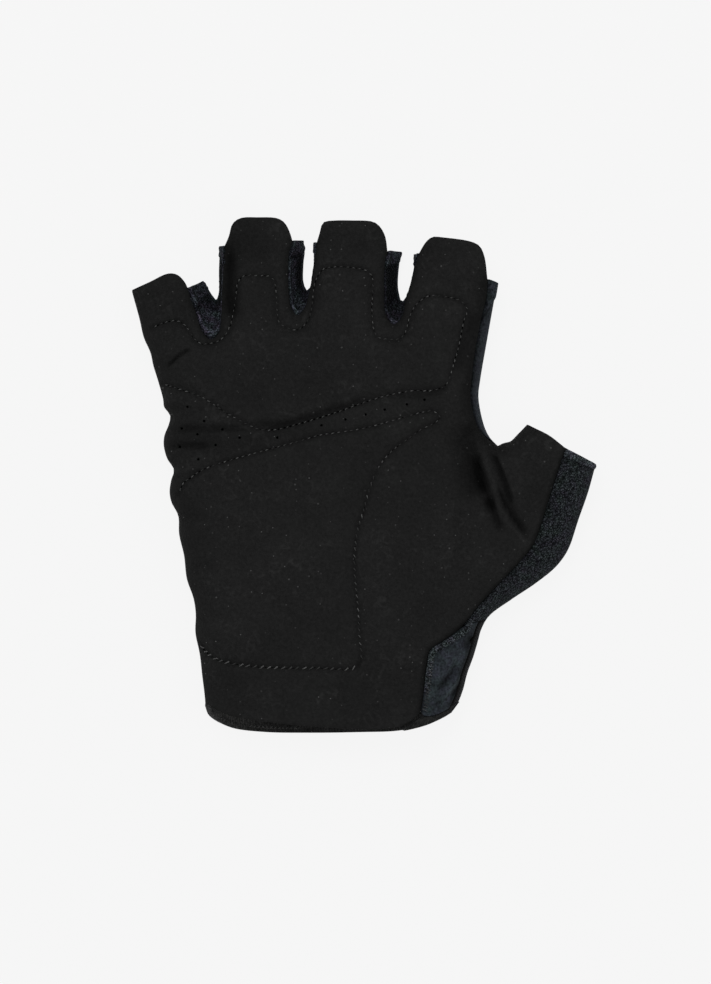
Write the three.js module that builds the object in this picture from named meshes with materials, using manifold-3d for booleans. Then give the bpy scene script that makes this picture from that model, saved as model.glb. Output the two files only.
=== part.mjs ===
// A fingerless fitness glove for the right hand, lying on its back with the palm up.
// Millimetres. +X points to the thumb, +Y to the fingertips and +Z up out of the palm.
//
// The glove is cut and sewn from sheets: a suede palm in one piece with the fronts of the fingers and
// thumb, a knit back that wraps round the side of the index finger, three knit walls between the
// fingers, a knit thumb back, a stretch gusset beside the wrist, bindings, and two foam pads that are
// stitched under the palm.
//
// Every panel is a piece of one of two skins. The top skin is palmHeight(x, y) and the bottom skin is
// backHeight(x, y). They meet at the glove's silhouette. A panel is a set of grids of points between
// its cut edges, laid on a skin and then thickened inwards.
import * as THREE from "three";
import Module from "manifold-3d";
import { mergeVertices } from "three/addons/utils/BufferGeometryUtils.js";

const wasm = await Module();
wasm.setup();

// Sheet thicknesses and the gap that two sewn panels keep.
const SUEDE = 1.5;
const KNIT = 1.3;
const TERRY = 1.6;
const BINDING = 1.9;
const STRAP = {
  thick: 1.6, fromX: -26, fromY: -72, toY: -54, round: 6, fromEdge: 3, margin: 7, fade: 10,
};
const FOAM = 2.2;
const SEAM_GAP = 0.4;
const PAD_GAP = 0.35;

// Heights of the empty glove as it lies, and how far its edges take to round over.
const HEIGHT = { hand: 20, finger: 15.5, cuff: 17.5, thumb: 17.5 };
const EDGE_TOP = 7.8;
const EDGE_BOTTOM = 7.2;
const ROUND = { side: 10, crotch: 7.5, outer: 12, under: 7 };
const FINGER_ROUND = 8;
const FINGER_DROP = 3;
const FINGER_UNDER = 6;
const FINGER_RISE = 3;
const PAD_RELIEF = 0.7;

// How far the fingertips and the thumb's tip curl up off the surface.
const CURL = { fromY: 52, overY: 32, rise: 2.2 };
const THUMB_CURL = { x: 56, y: -12, dirX: 0.51, dirY: 0.86, over: 26, rise: 1.8 };

// Cut edges of the panels. Each row is a point [x, y].
const SIDE = [
  [-51.4, -90], [-51.6, -74], [-52.8, -62], [-54.6, -48], [-56.8, -37], [-58.8, -26], [-60.2, -17.5],
  [-60.6, -12.4], [-62.9, -7.4], [-62.9, -4], [-61.7, 1], [-62.5, 4], [-64.9, 9], [-65, 12.5],
  [-63.2, 17.4], [-63.4, 20], [-65.3, 24], [-67.2, 31.3], [-69.2, 38.6], [-71.5, 45], [-73.4, 52],
  [-75.5, 60.2], [-77.2, 67],
];
const CROTCH = [43.5, 9.7];
const INDEX_SIDE = [
  [45.6, 76], [43.3, 62.5], [42.2, 56], [40, 44], [37.8, 31.2], [37.2, 26.1], [37.8, 20.7],
  [39.3, 15], [41, 12], CROTCH,
];
const THUMB_INSIDE = [CROTCH, [45.4, 10.6], [47.6, 11.2], [50.1, 13.6], [53, 16.6], [56.5, 20.6]];
const OUTSIDE = [
  [25.5, -90], [28, -79], [30.3, -74.5], [32.2, -69.6], [33.6, -64.2], [35.6, -58.7], [37.2, -53.2],
  [37.8, -50.2], [40.3, -45.6], [47.8, -39.9], [55.3, -34.9], [61.7, -29.9], [64.9, -26.1],
  [66.9, -22.6], [69.6, -14.7], [72.9, -5.2], [75.3, 3.9], [77, 9.5],
];
const INDEX_SEAM = [[40.1, 63.6], [39.7, 57.8], [38, 50.9], [35.9, 39.6], [34.9, 31.1], [34.5, 26.1],
  [35.4, 20.2], [37.4, 14.8], [40, 12], CROTCH];
const THUMB_SEAM = [[31, -49.8], [34, -46.2], [37, -42.3], [43, -35.8], [50, -28.4], [54.6, -22.6], [57.4, -15.4],
  [60.4, -5.7], [63.6, 4.2], [65.3, 8.6]];
const GUSSET_SEAM = [[18.1, -77.2], [19.1, -70.6], [20.1, -62.2], [21.4, -56.4], [25.4, -53.6],
  [31, -49.8]];
const PALM_CUFF = [[-51.4, -73.6], [-47.5, -77], [-41, -79.2], [-27.5, -81.3], [-12.4, -82.8],
  [4.5, -82.7], [13.3, -80.7], [18.1, -77.2]];
const BACK_CUFF = [[-51.7, -74.8], [-50.4, -78.2], [-43.6, -82], [-33, -83.5], [-18, -83.8],
  [-1.6, -83.5], [11.3, -83], [20.1, -81.1], [25.6, -78.8], [28.4, -77]];
const BACK_CUT = [[-51.5, -71.6], [-46, -76.4], [-38, -79.2], [-24, -80.5], [-6, -80.6], [9, -79.8],
  [19, -77.6], [26, -75], [30.9, -73.2]];
const GUSSET_HEM = [[19, -77.9], [22.4, -77.7], [25.2, -76.7], [28, -75.2]];
const PALM_THUMB_ROOT = [[54.6, -22.6], [51, -8], CROTCH];
const BACK_THUMB_ROOT = [[64.9, -26.1], [53, -9], CROTCH];
const THUMB_TIP = [[65.3, 8.6], [59.9, 12.8], [53, 16.6]];
const THUMB_BACK_TIP = [[75.3, 3.9], [65.2, 9.2], [53, 16.6]];

// The gaps between the fingers, from one fingertip down round the web and up to the next: the palm's
// edge, the back's edge, and the shares of the palm's edge and of the back's at which the web begins
// and ends.
const GAPS = [
  {
    name: "wall_little_ring",
    palm: [[-57, 60.3], [-56.3, 57.3], [-54.8, 53.5], [-53.6, 49.6], [-52.4, 46.6], [-49.8, 44.2],
      [-47.2, 46.2], [-46.3, 52.3], [-46, 60.4], [-45.5, 69], [-45.3, 74.3]],
    back: [[-52, 62.9], [-50.8, 61], [-49.3, 58.6], [-48.1, 57.2], [-47.3, 59.4], [-47.2, 66.9],
      [-46.9, 74]],
    web: [0.27, 0.4],
    backWeb: [0.22, 0.34],
  },
  {
    name: "wall_ring_middle",
    palm: [[-23.2, 76], [-24.4, 71.8], [-24.7, 64.9], [-24.3, 58.5], [-23.7, 54.6], [-21.6, 52],
      [-19.4, 54.2], [-17.6, 60.2], [-16.6, 66.9], [-16, 71], [-15.5, 75]],
    back: [[-19.7, 75.8], [-19.3, 72.8], [-19.7, 69], [-19.6, 62.2], [-18.4, 60.2], [-17.2, 62.2],
      [-16.4, 68.8], [-16.2, 75.3]],
    web: [0.44, 0.57],
    backWeb: [0.4, 0.6],
  },
  {
    name: "wall_middle_index",
    palm: [[7.6, 72.4], [6.8, 69.4], [6.6, 57.7], [6.9, 52.8], [9.6, 49], [12.2, 51.4],
      [13.8, 58.1], [15.7, 64.1], [16.7, 69], [17.8, 72]],
    back: [[11.9, 72.2], [11.1, 69], [10.7, 60.6], [12.3, 56.6], [13.8, 58.4], [15.6, 64.1],
      [16.4, 69], [16.4, 71.4]],
    web: [0.42, 0.58],
    backWeb: [0.4, 0.56],
  },
];

// The palm's free tabs at the fingertips, from left to right.
const TABS = [
  [[-75.4, 60.2], [-69.4, 63], [-63.5, 65.6], [-60.6, 65.1], [-58.2, 62.6], [-57, 60.3]],
  [[-45.3, 74.3], [-43.9, 77.4], [-42.8, 81.6], [-40.2, 83.6], [-34.4, 84], [-28.2, 83.7], [-26, 82.4],
    [-24.3, 79.6], [-23.2, 76]],
  [[-15.5, 75], [-14.4, 78.4], [-13.2, 82.2], [-10, 82.9], [-4, 83], [2.8, 82.5], [5, 80.9], [6.8, 77.3],
    [7.6, 72.4]],
  [[17.8, 72], [19.6, 75.6], [21.8, 77.6], [25.4, 77.5], [35, 76.1], [37.6, 74.6], [39, 71],
    [40.1, 63.6]],
];

// The foam pads' stitched outlines.
const KNUCKLE_PAD = [[-63.5, 29.4], [-56, 27.2], [-48.6, 23], [-40.8, 18.2], [-34, 15.2], [-29.2, 14.8],
  [-16.2, 18.2], [-2.3, 22.7], [5.2, 25.4], [22, 27.8], [26.8, 29.8], [30.6, 41.8], [33.4, 53.4],
  [31, 56.8], [26.4, 58], [20.8, 58.2], [16.8, 54.8], [13.6, 46.6], [10.6, 44.2], [6, 44.4],
  [3.4, 46.6], [2.7, 60], [1.6, 66], [-2, 67.4], [-9, 67.6], [-13.8, 66.6], [-16.2, 61.4],
  [-17.2, 53], [-20, 47.8], [-24, 47.8], [-27.6, 50.4], [-28.4, 58], [-29.2, 63], [-32, 64.8],
  [-38, 64.8], [-40.9, 62.4], [-42.4, 52], [-45.4, 45.2], [-49.7, 42.8], [-54, 43.4], [-57.8, 48.4],
  [-61.1, 50.2], [-67, 48.2]];
const HEEL_PAD = [[-59, -4], [-52.8, 1.6], [-43.2, 5.1], [-30.2, 8.9], [-14.6, 13.1], [-0.3, 15.4],
  [12, 18.7], [20.6, 20.9], [24.4, 19], [18.6, 15], [10.2, 9], [3.9, 1.2], [-0.1, -11.3],
  [-3, -25], [-2.4, -37], [-1.2, -54], [-1, -60], [-3.6, -62.3], [-14, -62.5], [-37, -61.8],
  [-46.6, -60], [-51.2, -55.6], [-53.6, -40]];

// The palm's main folds, each a valley along a line: x0, y0, x1, y1, width, depth.
const FOLDS = [
  { x0: 43, y0: 8, x1: 48.5, y1: -9, width: 2.2, depth: 1.8 },
  { x0: 38.5, y0: 0, x1: 51.5, y1: -19.5, width: 2.4, depth: 2 },
  { x0: 35.5, y0: 14, x1: 37, y1: 0, width: 5, depth: 2.2 },
  { x0: -57, y0: 40.2, x1: -64.5, y1: 34, width: 2.2, depth: 0.9 },
  { x0: -61, y0: 15.2, x1: -36, y1: 15.2, width: 2.6, depth: 1 },
  { x0: -61, y0: 9.4, x1: -51, y1: 9.4, width: 2.4, depth: 0.9 },
];

// The breathing holes between the two pads.
const HOLE_WIDTH = 1.1;
const HOLES = [
  [-51.8, 17.7], [-59.1, 15.3], [-54, 13.4], [-45.9, 15], [-40.3, 12.3], [-48.1, 9.9], [-59.7, 9.3],
  [-57.2, 22.3], [-53.7, 5.3], [-28.1, 12.3], [-13.8, 16.3], [-6, 18.2], [0.5, 19.8], [6.7, 21.4],
  [13.9, 23.1], [19.6, 24.6],
];

// Grid steps along each edge of the panels.
const PALM_STEPS = { gusset: 4, thumbSeam: 5, thumbRoot: 7, index: 8, finger: 5, across: 6, web: 2 };
const BACK_STEPS = { gusset: 3, thumbSeam: 3, thumbRoot: 4, index: 5, finger: 4, across: 4, web: 2 };
const THUMB_COLUMNS = 7;
const WALL_ROWS = 3;
const WALL_STEPS = 18;

// A smooth line through points, as many short straight steps.
const LINE_STEPS = 240;
function smoothLine(points) {
  const curve = new THREE.CatmullRomCurve3(
    points.map(([x, y]) => new THREE.Vector3(x, y, 0)), false, "centripetal");
  return curve.getPoints(LINE_STEPS);
}

// The piece of a line between two shares of its length, in equal steps. Shares may run backwards.
function along(line, from, to, steps, bunch = 0) {
  const lengths = [0];
  for (let i = 1; i < line.length; i++) lengths.push(lengths[i - 1] + line[i].distanceTo(line[i - 1]));
  const total = lengths.at(-1);
  const points = [];
  for (let k = 0; k <= steps; k++) {
    const even = k / steps;
    const share = even + bunch * ((1 - Math.cos(Math.PI * even)) / 2 - even);
    const want = (from + (to - from) * share) * total;
    let i = 1;
    while (i < line.length - 1 && lengths[i] < want) i++;
    const step = lengths[i] - lengths[i - 1] || 1;
    points.push(line[i - 1].clone().lerp(line[i], (want - lengths[i - 1]) / step));
  }
  return points;
}

// The share of a line's length at which it is nearest to a point.
function shareAt(line, [x, y]) {
  let best = 0;
  let nearest = Infinity;
  let length = 0;
  const lengths = line.map((point, i) => (length += i ? point.distanceTo(line[i - 1]) : 0));
  line.forEach((point, i) => {
    const distance = Math.hypot(point.x - x, point.y - y);
    if (distance < nearest) [nearest, best] = [distance, i];
  });
  return lengths[best] / length;
}

// The piece of a line between its points nearest to two given points.
function between(line, from, to, steps, bunch = 0) {
  return along(line, shareAt(line, from), shareAt(line, to), steps, bunch);
}

// A line moved sideways, to its left if the distance is positive.
function beside(line, distance) {
  return line.map((point, i) => {
    const step = line[Math.min(i + 1, line.length - 1)].clone().sub(line[Math.max(i - 1, 0)]).normalize();
    return new THREE.Vector3(point.x - step.y * distance, point.y + step.x * distance, 0);
  });
}

const line = {
  side: smoothLine(SIDE),
  index: smoothLine(INDEX_SIDE),
  thumbInside: smoothLine(THUMB_INSIDE),
  outside: smoothLine(OUTSIDE),
  indexSeam: smoothLine(INDEX_SEAM),
  thumbSeam: smoothLine(THUMB_SEAM),
  gussetSeam: smoothLine(GUSSET_SEAM),
  palmCuff: smoothLine(PALM_CUFF),
  backCuff: smoothLine(BACK_CUFF),
  backCut: smoothLine(BACK_CUT),
  gussetHem: smoothLine(GUSSET_HEM),
  palmThumbRoot: smoothLine(PALM_THUMB_ROOT),
  backThumbRoot: smoothLine(BACK_THUMB_ROOT),
  thumbTip: smoothLine(THUMB_TIP),
  thumbBackTip: smoothLine(THUMB_BACK_TIP),
};
line.crotch = [...line.index, ...line.thumbInside.slice(1)];
const gaps = GAPS.map((gap) => ({ ...gap, palm: smoothLine(gap.palm), back: smoothLine(gap.back) }));
const tabs = TABS.map(smoothLine);
const pads = { knuckle: smoothLine([...KNUCKLE_PAD, KNUCKLE_PAD[0]]), heel: smoothLine([...HEEL_PAD, HEEL_PAD[0]]) };

// Distance from (x, y) to a line, negative where the point is past it, off the cloth.
// clothSide is 1 where the cloth lies to the line's left and -1 where it lies to its right.
function inside(points, x, y, clothSide) {
  let nearest = Infinity;
  let sign = 1;
  for (let i = 1; i < points.length; i++) {
    const a = points[i - 1];
    const b = points[i];
    const stepX = b.x - a.x;
    const stepY = b.y - a.y;
    const along = THREE.MathUtils.clamp(
      ((x - a.x) * stepX + (y - a.y) * stepY) / (stepX * stepX + stepY * stepY || 1), 0, 1);
    const offX = x - a.x - along * stepX;
    const offY = y - a.y - along * stepY;
    const distance = Math.hypot(offX, offY);
    if (distance < nearest - 1e-9) {
      nearest = distance;
      sign = Math.sign(stepX * offY - stepY * offX) || 1;
    }
  }
  return nearest * sign * clothSide;
}

// A quarter ellipse: 0 at the edge and 1 from distance `round` inwards.
function quarter(distance, round) {
  const share = THREE.MathUtils.clamp(distance / round, 0, 1);
  return Math.sqrt(1 - (1 - share) ** 2);
}

// A parabola that is `depth` at the edge and 0 from distance `round` inwards.
function parabola(distance, round, depth) {
  return distance < round ? depth * (1 - distance / round) ** 2 : 0;
}

function smoothStep(value) {
  const share = THREE.MathUtils.clamp(value, 0, 1);
  return share * share * (3 - 2 * share);
}

// The lift of the curled fingertips and thumb tip.
function curl(x, y) {
  const finger = x < 48 ? Math.max(0, (y - CURL.fromY) / CURL.overY) ** 2 * CURL.rise : 0;
  const reach = (x - THUMB_CURL.x) * THUMB_CURL.dirX + (y - THUMB_CURL.y) * THUMB_CURL.dirY;
  const thumb = x > 44 ? Math.max(0, reach / THUMB_CURL.over) ** 2 * THUMB_CURL.rise : 0;
  return finger + thumb;
}

function foldDepth(x, y) {
  return FOLDS.reduce((sum, { x0, y0, x1, y1, width, depth }) => {
    const length2 = (x1 - x0) ** 2 + (y1 - y0) ** 2;
    const share = THREE.MathUtils.clamp(((x - x0) * (x1 - x0) + (y - y0) * (y1 - y0)) / length2, 0, 1);
    const distance = Math.hypot(x - x0 - share * (x1 - x0), y - y0 - share * (y1 - y0));
    return sum + depth * Math.exp(-((distance / width) ** 2));
  }, 0);
}

// How much of the silhouette's rounding is left at a point, from 0 at the silhouette to 1 well inside.
function rounding(x, y, round) {
  return quarter(inside(line.side, x, y, -1), round.side)
    * quarter(inside(line.crotch, x, y, -1), round.crotch)
    * quarter(inside(line.outside, x, y, 1), round.outer);
}

// Height of the outer surface of the glove's upper skin.
function palmHeight(x, y) {
  const full = HEIGHT.hand
    - (HEIGHT.hand - HEIGHT.finger) * smoothStep((y - 28) / 30) * smoothStep((56 - x) / 12)
    - (HEIGHT.hand - HEIGHT.thumb) * smoothStep((x - 38) / 22)
    - (HEIGHT.hand - HEIGHT.cuff) * smoothStep((-58 - y) / 22);
  const edges = gaps.reduce((sum, gap) =>
    sum + parabola(inside(gap.palm, x, y, -1), FINGER_ROUND, FINGER_DROP), 0);
  return EDGE_TOP + (full - EDGE_TOP) * rounding(x, y, ROUND) - edges - foldDepth(x, y) + curl(x, y);
}

// Height of the outer surface of the lower skin, which is flat where it lies.
const UNDER = { side: ROUND.under, crotch: ROUND.under, outer: ROUND.under };
function backHeight(x, y) {
  const edges = gaps.reduce((sum, gap) =>
    sum + parabola(inside(gap.back, x, y, -1), FINGER_UNDER, FINGER_RISE), 0);
  const round = rounding(x, y, UNDER);
  return EDGE_BOTTOM * (1 - round) + strapLift(x, y) * round + edges + curl(x, y);
}

// The back is held up where the strap lies under it.
function strapLift(x, y) {
  const { thick, fromX, toY, margin, fade } = STRAP;
  return (thick + PAD_GAP) * smoothStep((x - fromX + margin) / fade + 1)
    * smoothStep((toY - y + margin) / fade + 1);
}

// A point laid on a skin, with the direction that points out of the glove there.
const SLOPE_STEP = 0.1;
function laid(height, up, { x, y }) {
  const slopeX = (height(x + SLOPE_STEP, y) - height(x - SLOPE_STEP, y)) / (2 * SLOPE_STEP);
  const slopeY = (height(x, y + SLOPE_STEP) - height(x, y - SLOPE_STEP)) / (2 * SLOPE_STEP);
  return {
    at: new THREE.Vector3(x, y, height(x, y)),
    out: new THREE.Vector3(-slopeX, -slopeY, 1).normalize().multiplyScalar(up),
  };
}
const onPalm = (point) => laid(palmHeight, 1, point);
const onBack = (point) => laid(backHeight, -1, point);

// A Coons patch: a grid of points between four edges that share their corners. bottom and top run the
// same way, and so do left and right.
function patch(bottom, top, left, right) {
  const columns = bottom.length - 1;
  const rows = left.length - 1;
  const start = [bottom[0], ...left.slice(1, rows), top[0]];
  const end = [bottom[columns], ...right.slice(1, rows), top[columns]];
  return start.map((leftPoint, j) => bottom.map((bottomPoint, i) => {
    const u = i / columns;
    const v = j / rows;
    const blend = (pick) =>
      (1 - v) * bottomPoint[pick] + v * top[i][pick] + (1 - u) * leftPoint[pick] + u * end[j][pick]
      - (1 - u) * (1 - v) * bottom[0][pick] - u * (1 - v) * bottom[columns][pick]
      - (1 - u) * v * top[0][pick] - u * v * top[columns][pick];
    return new THREE.Vector3(blend("x"), blend("y"), 0);
  }));
}

// A band between two lines with the same number of points.
function band(first, second, steps, bunch = 0) {
  return Array.from({ length: steps + 1 }, (_, k) => {
    const even = k / steps;
    const share = even + bunch * (Math.sin((Math.PI / 2) * even) - even);
    return first.map((point, i) => point.clone().lerp(second[i], share));
  });
}

const layGrid = (grid, place) => grid.map((row) => row.map(place));

// One closed solid from grids of laid points. The grids share the vertices where they meet. Each
// vertex is set back `inset` from the skin, and the sheet is thickened inwards by `thickness`.
function sheetSolid(grids, thickness, inset = 0) {
  const found = new Map();
  const vertices = [];
  const faces = [];
  const idOf = ({ at, out }) => {
    const key = [at.x, at.y, at.z].map((value) => Math.round(value * 200)).join();
    if (!found.has(key)) found.set(key, vertices.push({ at, out: new THREE.Vector3() }) - 1);
    vertices[found.get(key)].out.add(out);
    return found.get(key);
  };
  for (const { grid, faceOut } of grids) {
    const ids = grid.map((row) => row.map(idOf));
    for (let j = 1; j < ids.length; j++) {
      for (let i = 1; i < ids[0].length; i++) {
        const [a, b, c, d] = [ids[j - 1][i - 1], ids[j - 1][i], ids[j][i], ids[j][i - 1]];
        const shortAC = vertices[a].at.distanceTo(vertices[c].at) < vertices[b].at.distanceTo(vertices[d].at);
        const halves = shortAC ? [[a, b, c], [a, c, d]] : [[a, b, d], [b, c, d]];
        for (const [p, q, r] of halves) {
          if (p !== q && q !== r && r !== p) faces.push(faceOut ? [p, q, r] : [p, r, q]);
        }
      }
    }
  }
  vertices.forEach((vertex) => vertex.out.normalize());
  const count = vertices.length;
  const set = (depth) => vertices.map(({ at, out }) => at.clone().addScaledVector(out, -depth));
  const positions = [...set(inset), ...set(inset + thickness)];
  const edges = new Set(faces.flatMap(([p, q, r]) => [`${p},${q}`, `${q},${r}`, `${r},${p}`]));
  const rims = [...edges].map((edge) => edge.split(",").map(Number))
    .filter(([p, q]) => !edges.has(`${q},${p}`))
    .flatMap(([p, q]) => [[q, p, p + count], [q, p + count, q + count]]);
  const inner = faces.map(([p, q, r]) => [p + count, r + count, q + count]);
  return geometryOf(positions, [...faces, ...inner, ...rims]);
}

function geometryOf(positions, faces) {
  const geometry = new THREE.BufferGeometry();
  geometry.setAttribute("position",
    new THREE.Float32BufferAttribute(positions.flatMap(({ x, y, z }) => [x, y, z]), 3));
  geometry.setIndex(faces.flat());
  return geometry;
}

// The shared edge chains of the palm's and the back's grids.
const FINGER_BUNCH = 0.5;
const PANELS = {
  palm: { web: "web", steps: PALM_STEPS },
  back: { web: "backWeb", steps: BACK_STEPS },
};
function rootChain(side, fromCorner, toCorner) {
  const { web, steps } = PANELS[side];
  const chain = [];
  let from = fromCorner;
  for (const gap of [...gaps, null]) {
    const to = gap ? along(gap[side], gap[web][0], gap[web][0], 1)[0] : toCorner;
    chain.push(...along([from, to], 0, 1, steps.across, FINGER_BUNCH).slice(chain.length ? 1 : 0));
    if (gap) {
      chain.push(...along(gap[side], gap[web][0], gap[web][1], steps.web).slice(1));
      from = chain.at(-1);
    }
  }
  return chain;
}

// The same shares of another line's length as a chain's points have of its own.
function matching(chain, target) {
  let length = 0;
  const shares = chain.map((point, i) => (length += i ? point.distanceTo(chain[i - 1]) : 0));
  return shares.map((share) => along(target, share / length, share / length, 1)[0]);
}

const join = (...chains) => chains.flatMap((chain, i) => (i ? chain.slice(1) : chain));

// The grids of the four fingers: each from its root up between its two edges to its tip.
function fingerGrids(side, roots, leftEdge, rightEdge, tips) {
  const { web, steps } = PANELS[side];
  return tips.map((tip, k) => {
    const start = k * (steps.across + steps.web);
    const left = k === 0 ? leftEdge : along(gaps[k - 1][side], gaps[k - 1][web][1], 1, steps.finger);
    const right = k === 3 ? rightEdge : along(gaps[k][side], gaps[k][web][0], 0, steps.finger);
    const top = along(tip, 0, 1, steps.across, FINGER_BUNCH);
    return patch(roots.slice(start, start + steps.across + 1), top, left, right);
  });
}

const rowsOf = ({ gusset, thumbSeam, thumbRoot, index }) => gusset + thumbSeam + thumbRoot + index;
const LITTLE_ROOT = [-71.4, 45];
const INDEX_ROOT = [38, 50.9];
const INDEX_BACK_ROOT = [41.4, 50];

// The suede palm: hand, four finger fronts and the thumb's front.
function palmGrids() {
  const left = between(line.side, PALM_CUFF[0], LITTLE_ROOT, rowsOf(PALM_STEPS));
  const seam = [...line.gussetSeam, ...line.thumbSeam.slice(1)];
  const thumbCorner = PALM_THUMB_ROOT[0];
  const root = along(line.palmThumbRoot, 0, 1, PALM_STEPS.thumbRoot);
  const right = join(
    between(seam, GUSSET_SEAM[0], GUSSET_SEAM[3], PALM_STEPS.gusset),
    [...between(seam, GUSSET_SEAM[3], thumbCorner, PALM_STEPS.thumbSeam).slice(0, -1), root[0]],
    root,
    between([...line.indexSeam].reverse(), CROTCH, INDEX_ROOT, PALM_STEPS.index));
  const top = rootChain("palm", left.at(-1), right.at(-1));
  const bottom = matching(top, line.palmCuff);
  [bottom[0], bottom[bottom.length - 1]] = [left[0], right[0]];
  const fingers = fingerGrids("palm", top,
    between(line.side, LITTLE_ROOT, TABS[0][0], PALM_STEPS.finger),
    between([...line.indexSeam].reverse(), INDEX_ROOT, INDEX_SEAM[0], PALM_STEPS.finger), tabs);
  const thumb = patch(
    [root[0], ...between(seam, thumbCorner, THUMB_SEAM.at(-1), THUMB_COLUMNS).slice(1)],
    [root.at(-1), ...between(line.thumbInside, CROTCH, THUMB_TIP.at(-1), THUMB_COLUMNS).slice(1)],
    root, along(line.thumbTip, 0, 1, PALM_STEPS.thumbRoot));
  return { hand: [patch(bottom, top, left, right), ...fingers], thumb };
}

// The knit back: hand, four finger backs, and the wrap up the index finger's side to the palm's seam.
function backGrids() {
  const left = between(line.side, BACK_CUT[0], LITTLE_ROOT, rowsOf(BACK_STEPS));
  const outer = between(line.outside, BACK_CUT.at(-1), BACK_THUMB_ROOT[0], BACK_STEPS.gusset + BACK_STEPS.thumbSeam);
  const root = along(line.backThumbRoot, 0, 1, BACK_STEPS.thumbRoot);
  const indexEdge = [...line.index].reverse();
  const right = join([...outer.slice(0, -1), root[0]], root,
    [root.at(-1), ...between(indexEdge, CROTCH, INDEX_BACK_ROOT, BACK_STEPS.index).slice(1)]);
  const top = rootChain("back", left.at(-1), right.at(-1));
  const bottom = matching(top, line.backCut);
  [bottom[0], bottom[bottom.length - 1]] = [left[0], right[0]];
  const starts = [[-74.2, 55.6], ...gaps.map((gap) => gap.back.at(-1).toArray())];
  const ends = [...gaps.map((gap) => gap.back[0].toArray()), [43.4, 62.5]];
  const tips = starts.map((start, k) => smoothLine([start, ends[k]]));
  const littleEdge = between(line.side, LITTLE_ROOT, starts[0], BACK_STEPS.finger);
  tips[0] = smoothLine([littleEdge.at(-1).toArray(), ends[0]]);
  const indexTop = between(indexEdge, INDEX_BACK_ROOT, ends[3], BACK_STEPS.finger);
  tips[3] = smoothLine([starts[3], indexTop.at(-1).toArray()]);
  const fingers = fingerGrids("back", top, littleEdge, indexTop, tips);
  const edge = join(right.slice(-BACK_STEPS.index - 1), indexTop);
  const seam = [...beside(line.indexSeam, SEAM_GAP)].reverse();
  const upper = along(seam, 0.012, 1, edge.length - 1);
  return { under: [patch(bottom, top, left, right), ...fingers], edge, upper };
}

const palm = palmGrids();
const back = backGrids();
const palmSheet = [...palm.hand, palm.thumb].map((grid) => ({ grid: layGrid(grid, onPalm), faceOut: true }));

// Rows laid on the palm skin down to the silhouette, joined there to the back skin.
function wrapped(upper, edge, steps) {
  const rows = layGrid(band(upper, edge, steps, 1), onPalm);
  return [...rows, edge.map(onBack)];
}

const backSheet = [
  ...back.under.map((grid) => ({ grid: layGrid(grid, onBack), faceOut: false })),
  { grid: wrapped(back.upper, back.edge, WALL_ROWS), faceOut: false },
];

// The knit thumb back: a wall round the outside of the thumb, and the thumb's underside.
function thumbBackSheet() {
  const wallTop = [39.8, -46.2];
  const lowerSteps = 5;
  const upperSteps = 6;
  const edge = join(between(line.outside, wallTop, BACK_THUMB_ROOT[0], lowerSteps),
    between(line.outside, BACK_THUMB_ROOT[0], THUMB_BACK_TIP[0], upperSteps));
  const seam = beside(line.thumbSeam, -SEAM_GAP);
  const upper = along(seam, 0.03, 1, edge.length - 1);
  const root = beside(line.backThumbRoot, -SEAM_GAP);
  const left = along(root, 0, 0.985, upperSteps);
  const tip = along(line.thumbBackTip, 0, 1, upperSteps);
  const outer = edge.slice(lowerSteps);
  const inner = between(line.thumbInside, left.at(-1).toArray(), THUMB_TIP.at(-1), upperSteps);
  inner[0] = left.at(-1);
  left[0] = outer[0];
  const grid = patch(outer, inner, left, tip);
  const wall = layGrid(band(upper, edge, WALL_ROWS, 1), onPalm);
  const bridge = [outer.map(onPalm), outer.map(onBack)];
  return [{ grid: wall, faceOut: false }, { grid: bridge, faceOut: false },
    { grid: layGrid(grid, onBack), faceOut: false }];
}

// The closing strap, a plain layer under the back of the wrist with a rounded free end.
function strapSheet() {
  const { fromX, fromY, toY, round, fromEdge } = STRAP;
  const side = beside(line.outside, fromEdge);
  const steps = 4;
  const free = Array.from({ length: steps + 1 }, (_, k) => {
    const across = Math.sin((Math.PI / 2) * (2 * k / steps - 1));
    const y = (fromY + toY) / 2 + across * (toY - fromY) / 2;
    return new THREE.Vector3(fromX + round * (1 - Math.sqrt(1 - across ** 2)), y, 0);
  });
  const sewn = between(side, [32 - fromEdge, fromY], [36.6 - fromEdge, toY], steps);
  const grid = band(sewn, free, 9).map((row) => row.map(onBack));
  return [{ grid, faceOut: false }];
}

// The stretch gusset beside the wrist, between the palm's seam and the bound edge.
const GUSSET_STEPS = 8;
const EDGE_BAND = 1.6;
function gussetSheet() {
  const seam = along(beside(line.gussetSeam, -SEAM_GAP), 0.02, 1, GUSSET_STEPS);
  const bound = between(beside(line.outside, EDGE_BAND + SEAM_GAP), [28.2, -74.6], [36.9, -49.2], GUSSET_STEPS);
  return [{ grid: layGrid(band(seam, bound, WALL_ROWS + 1), onPalm), faceOut: false }];
}

// The binding along the gusset's outer edge, from the thumb down to the cuff.
function sideBindingSheet() {
  const inner = between(beside(line.outside, EDGE_BAND), [28.8, -73.9], [37.4, -48.7], GUSSET_STEPS);
  const outer = between(line.outside, [30.9, -73.2], [38.9, -47.9], GUSSET_STEPS);
  return [{ grid: layGrid(band(inner, outer, 2, 1), onPalm), faceOut: false }];
}

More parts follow.
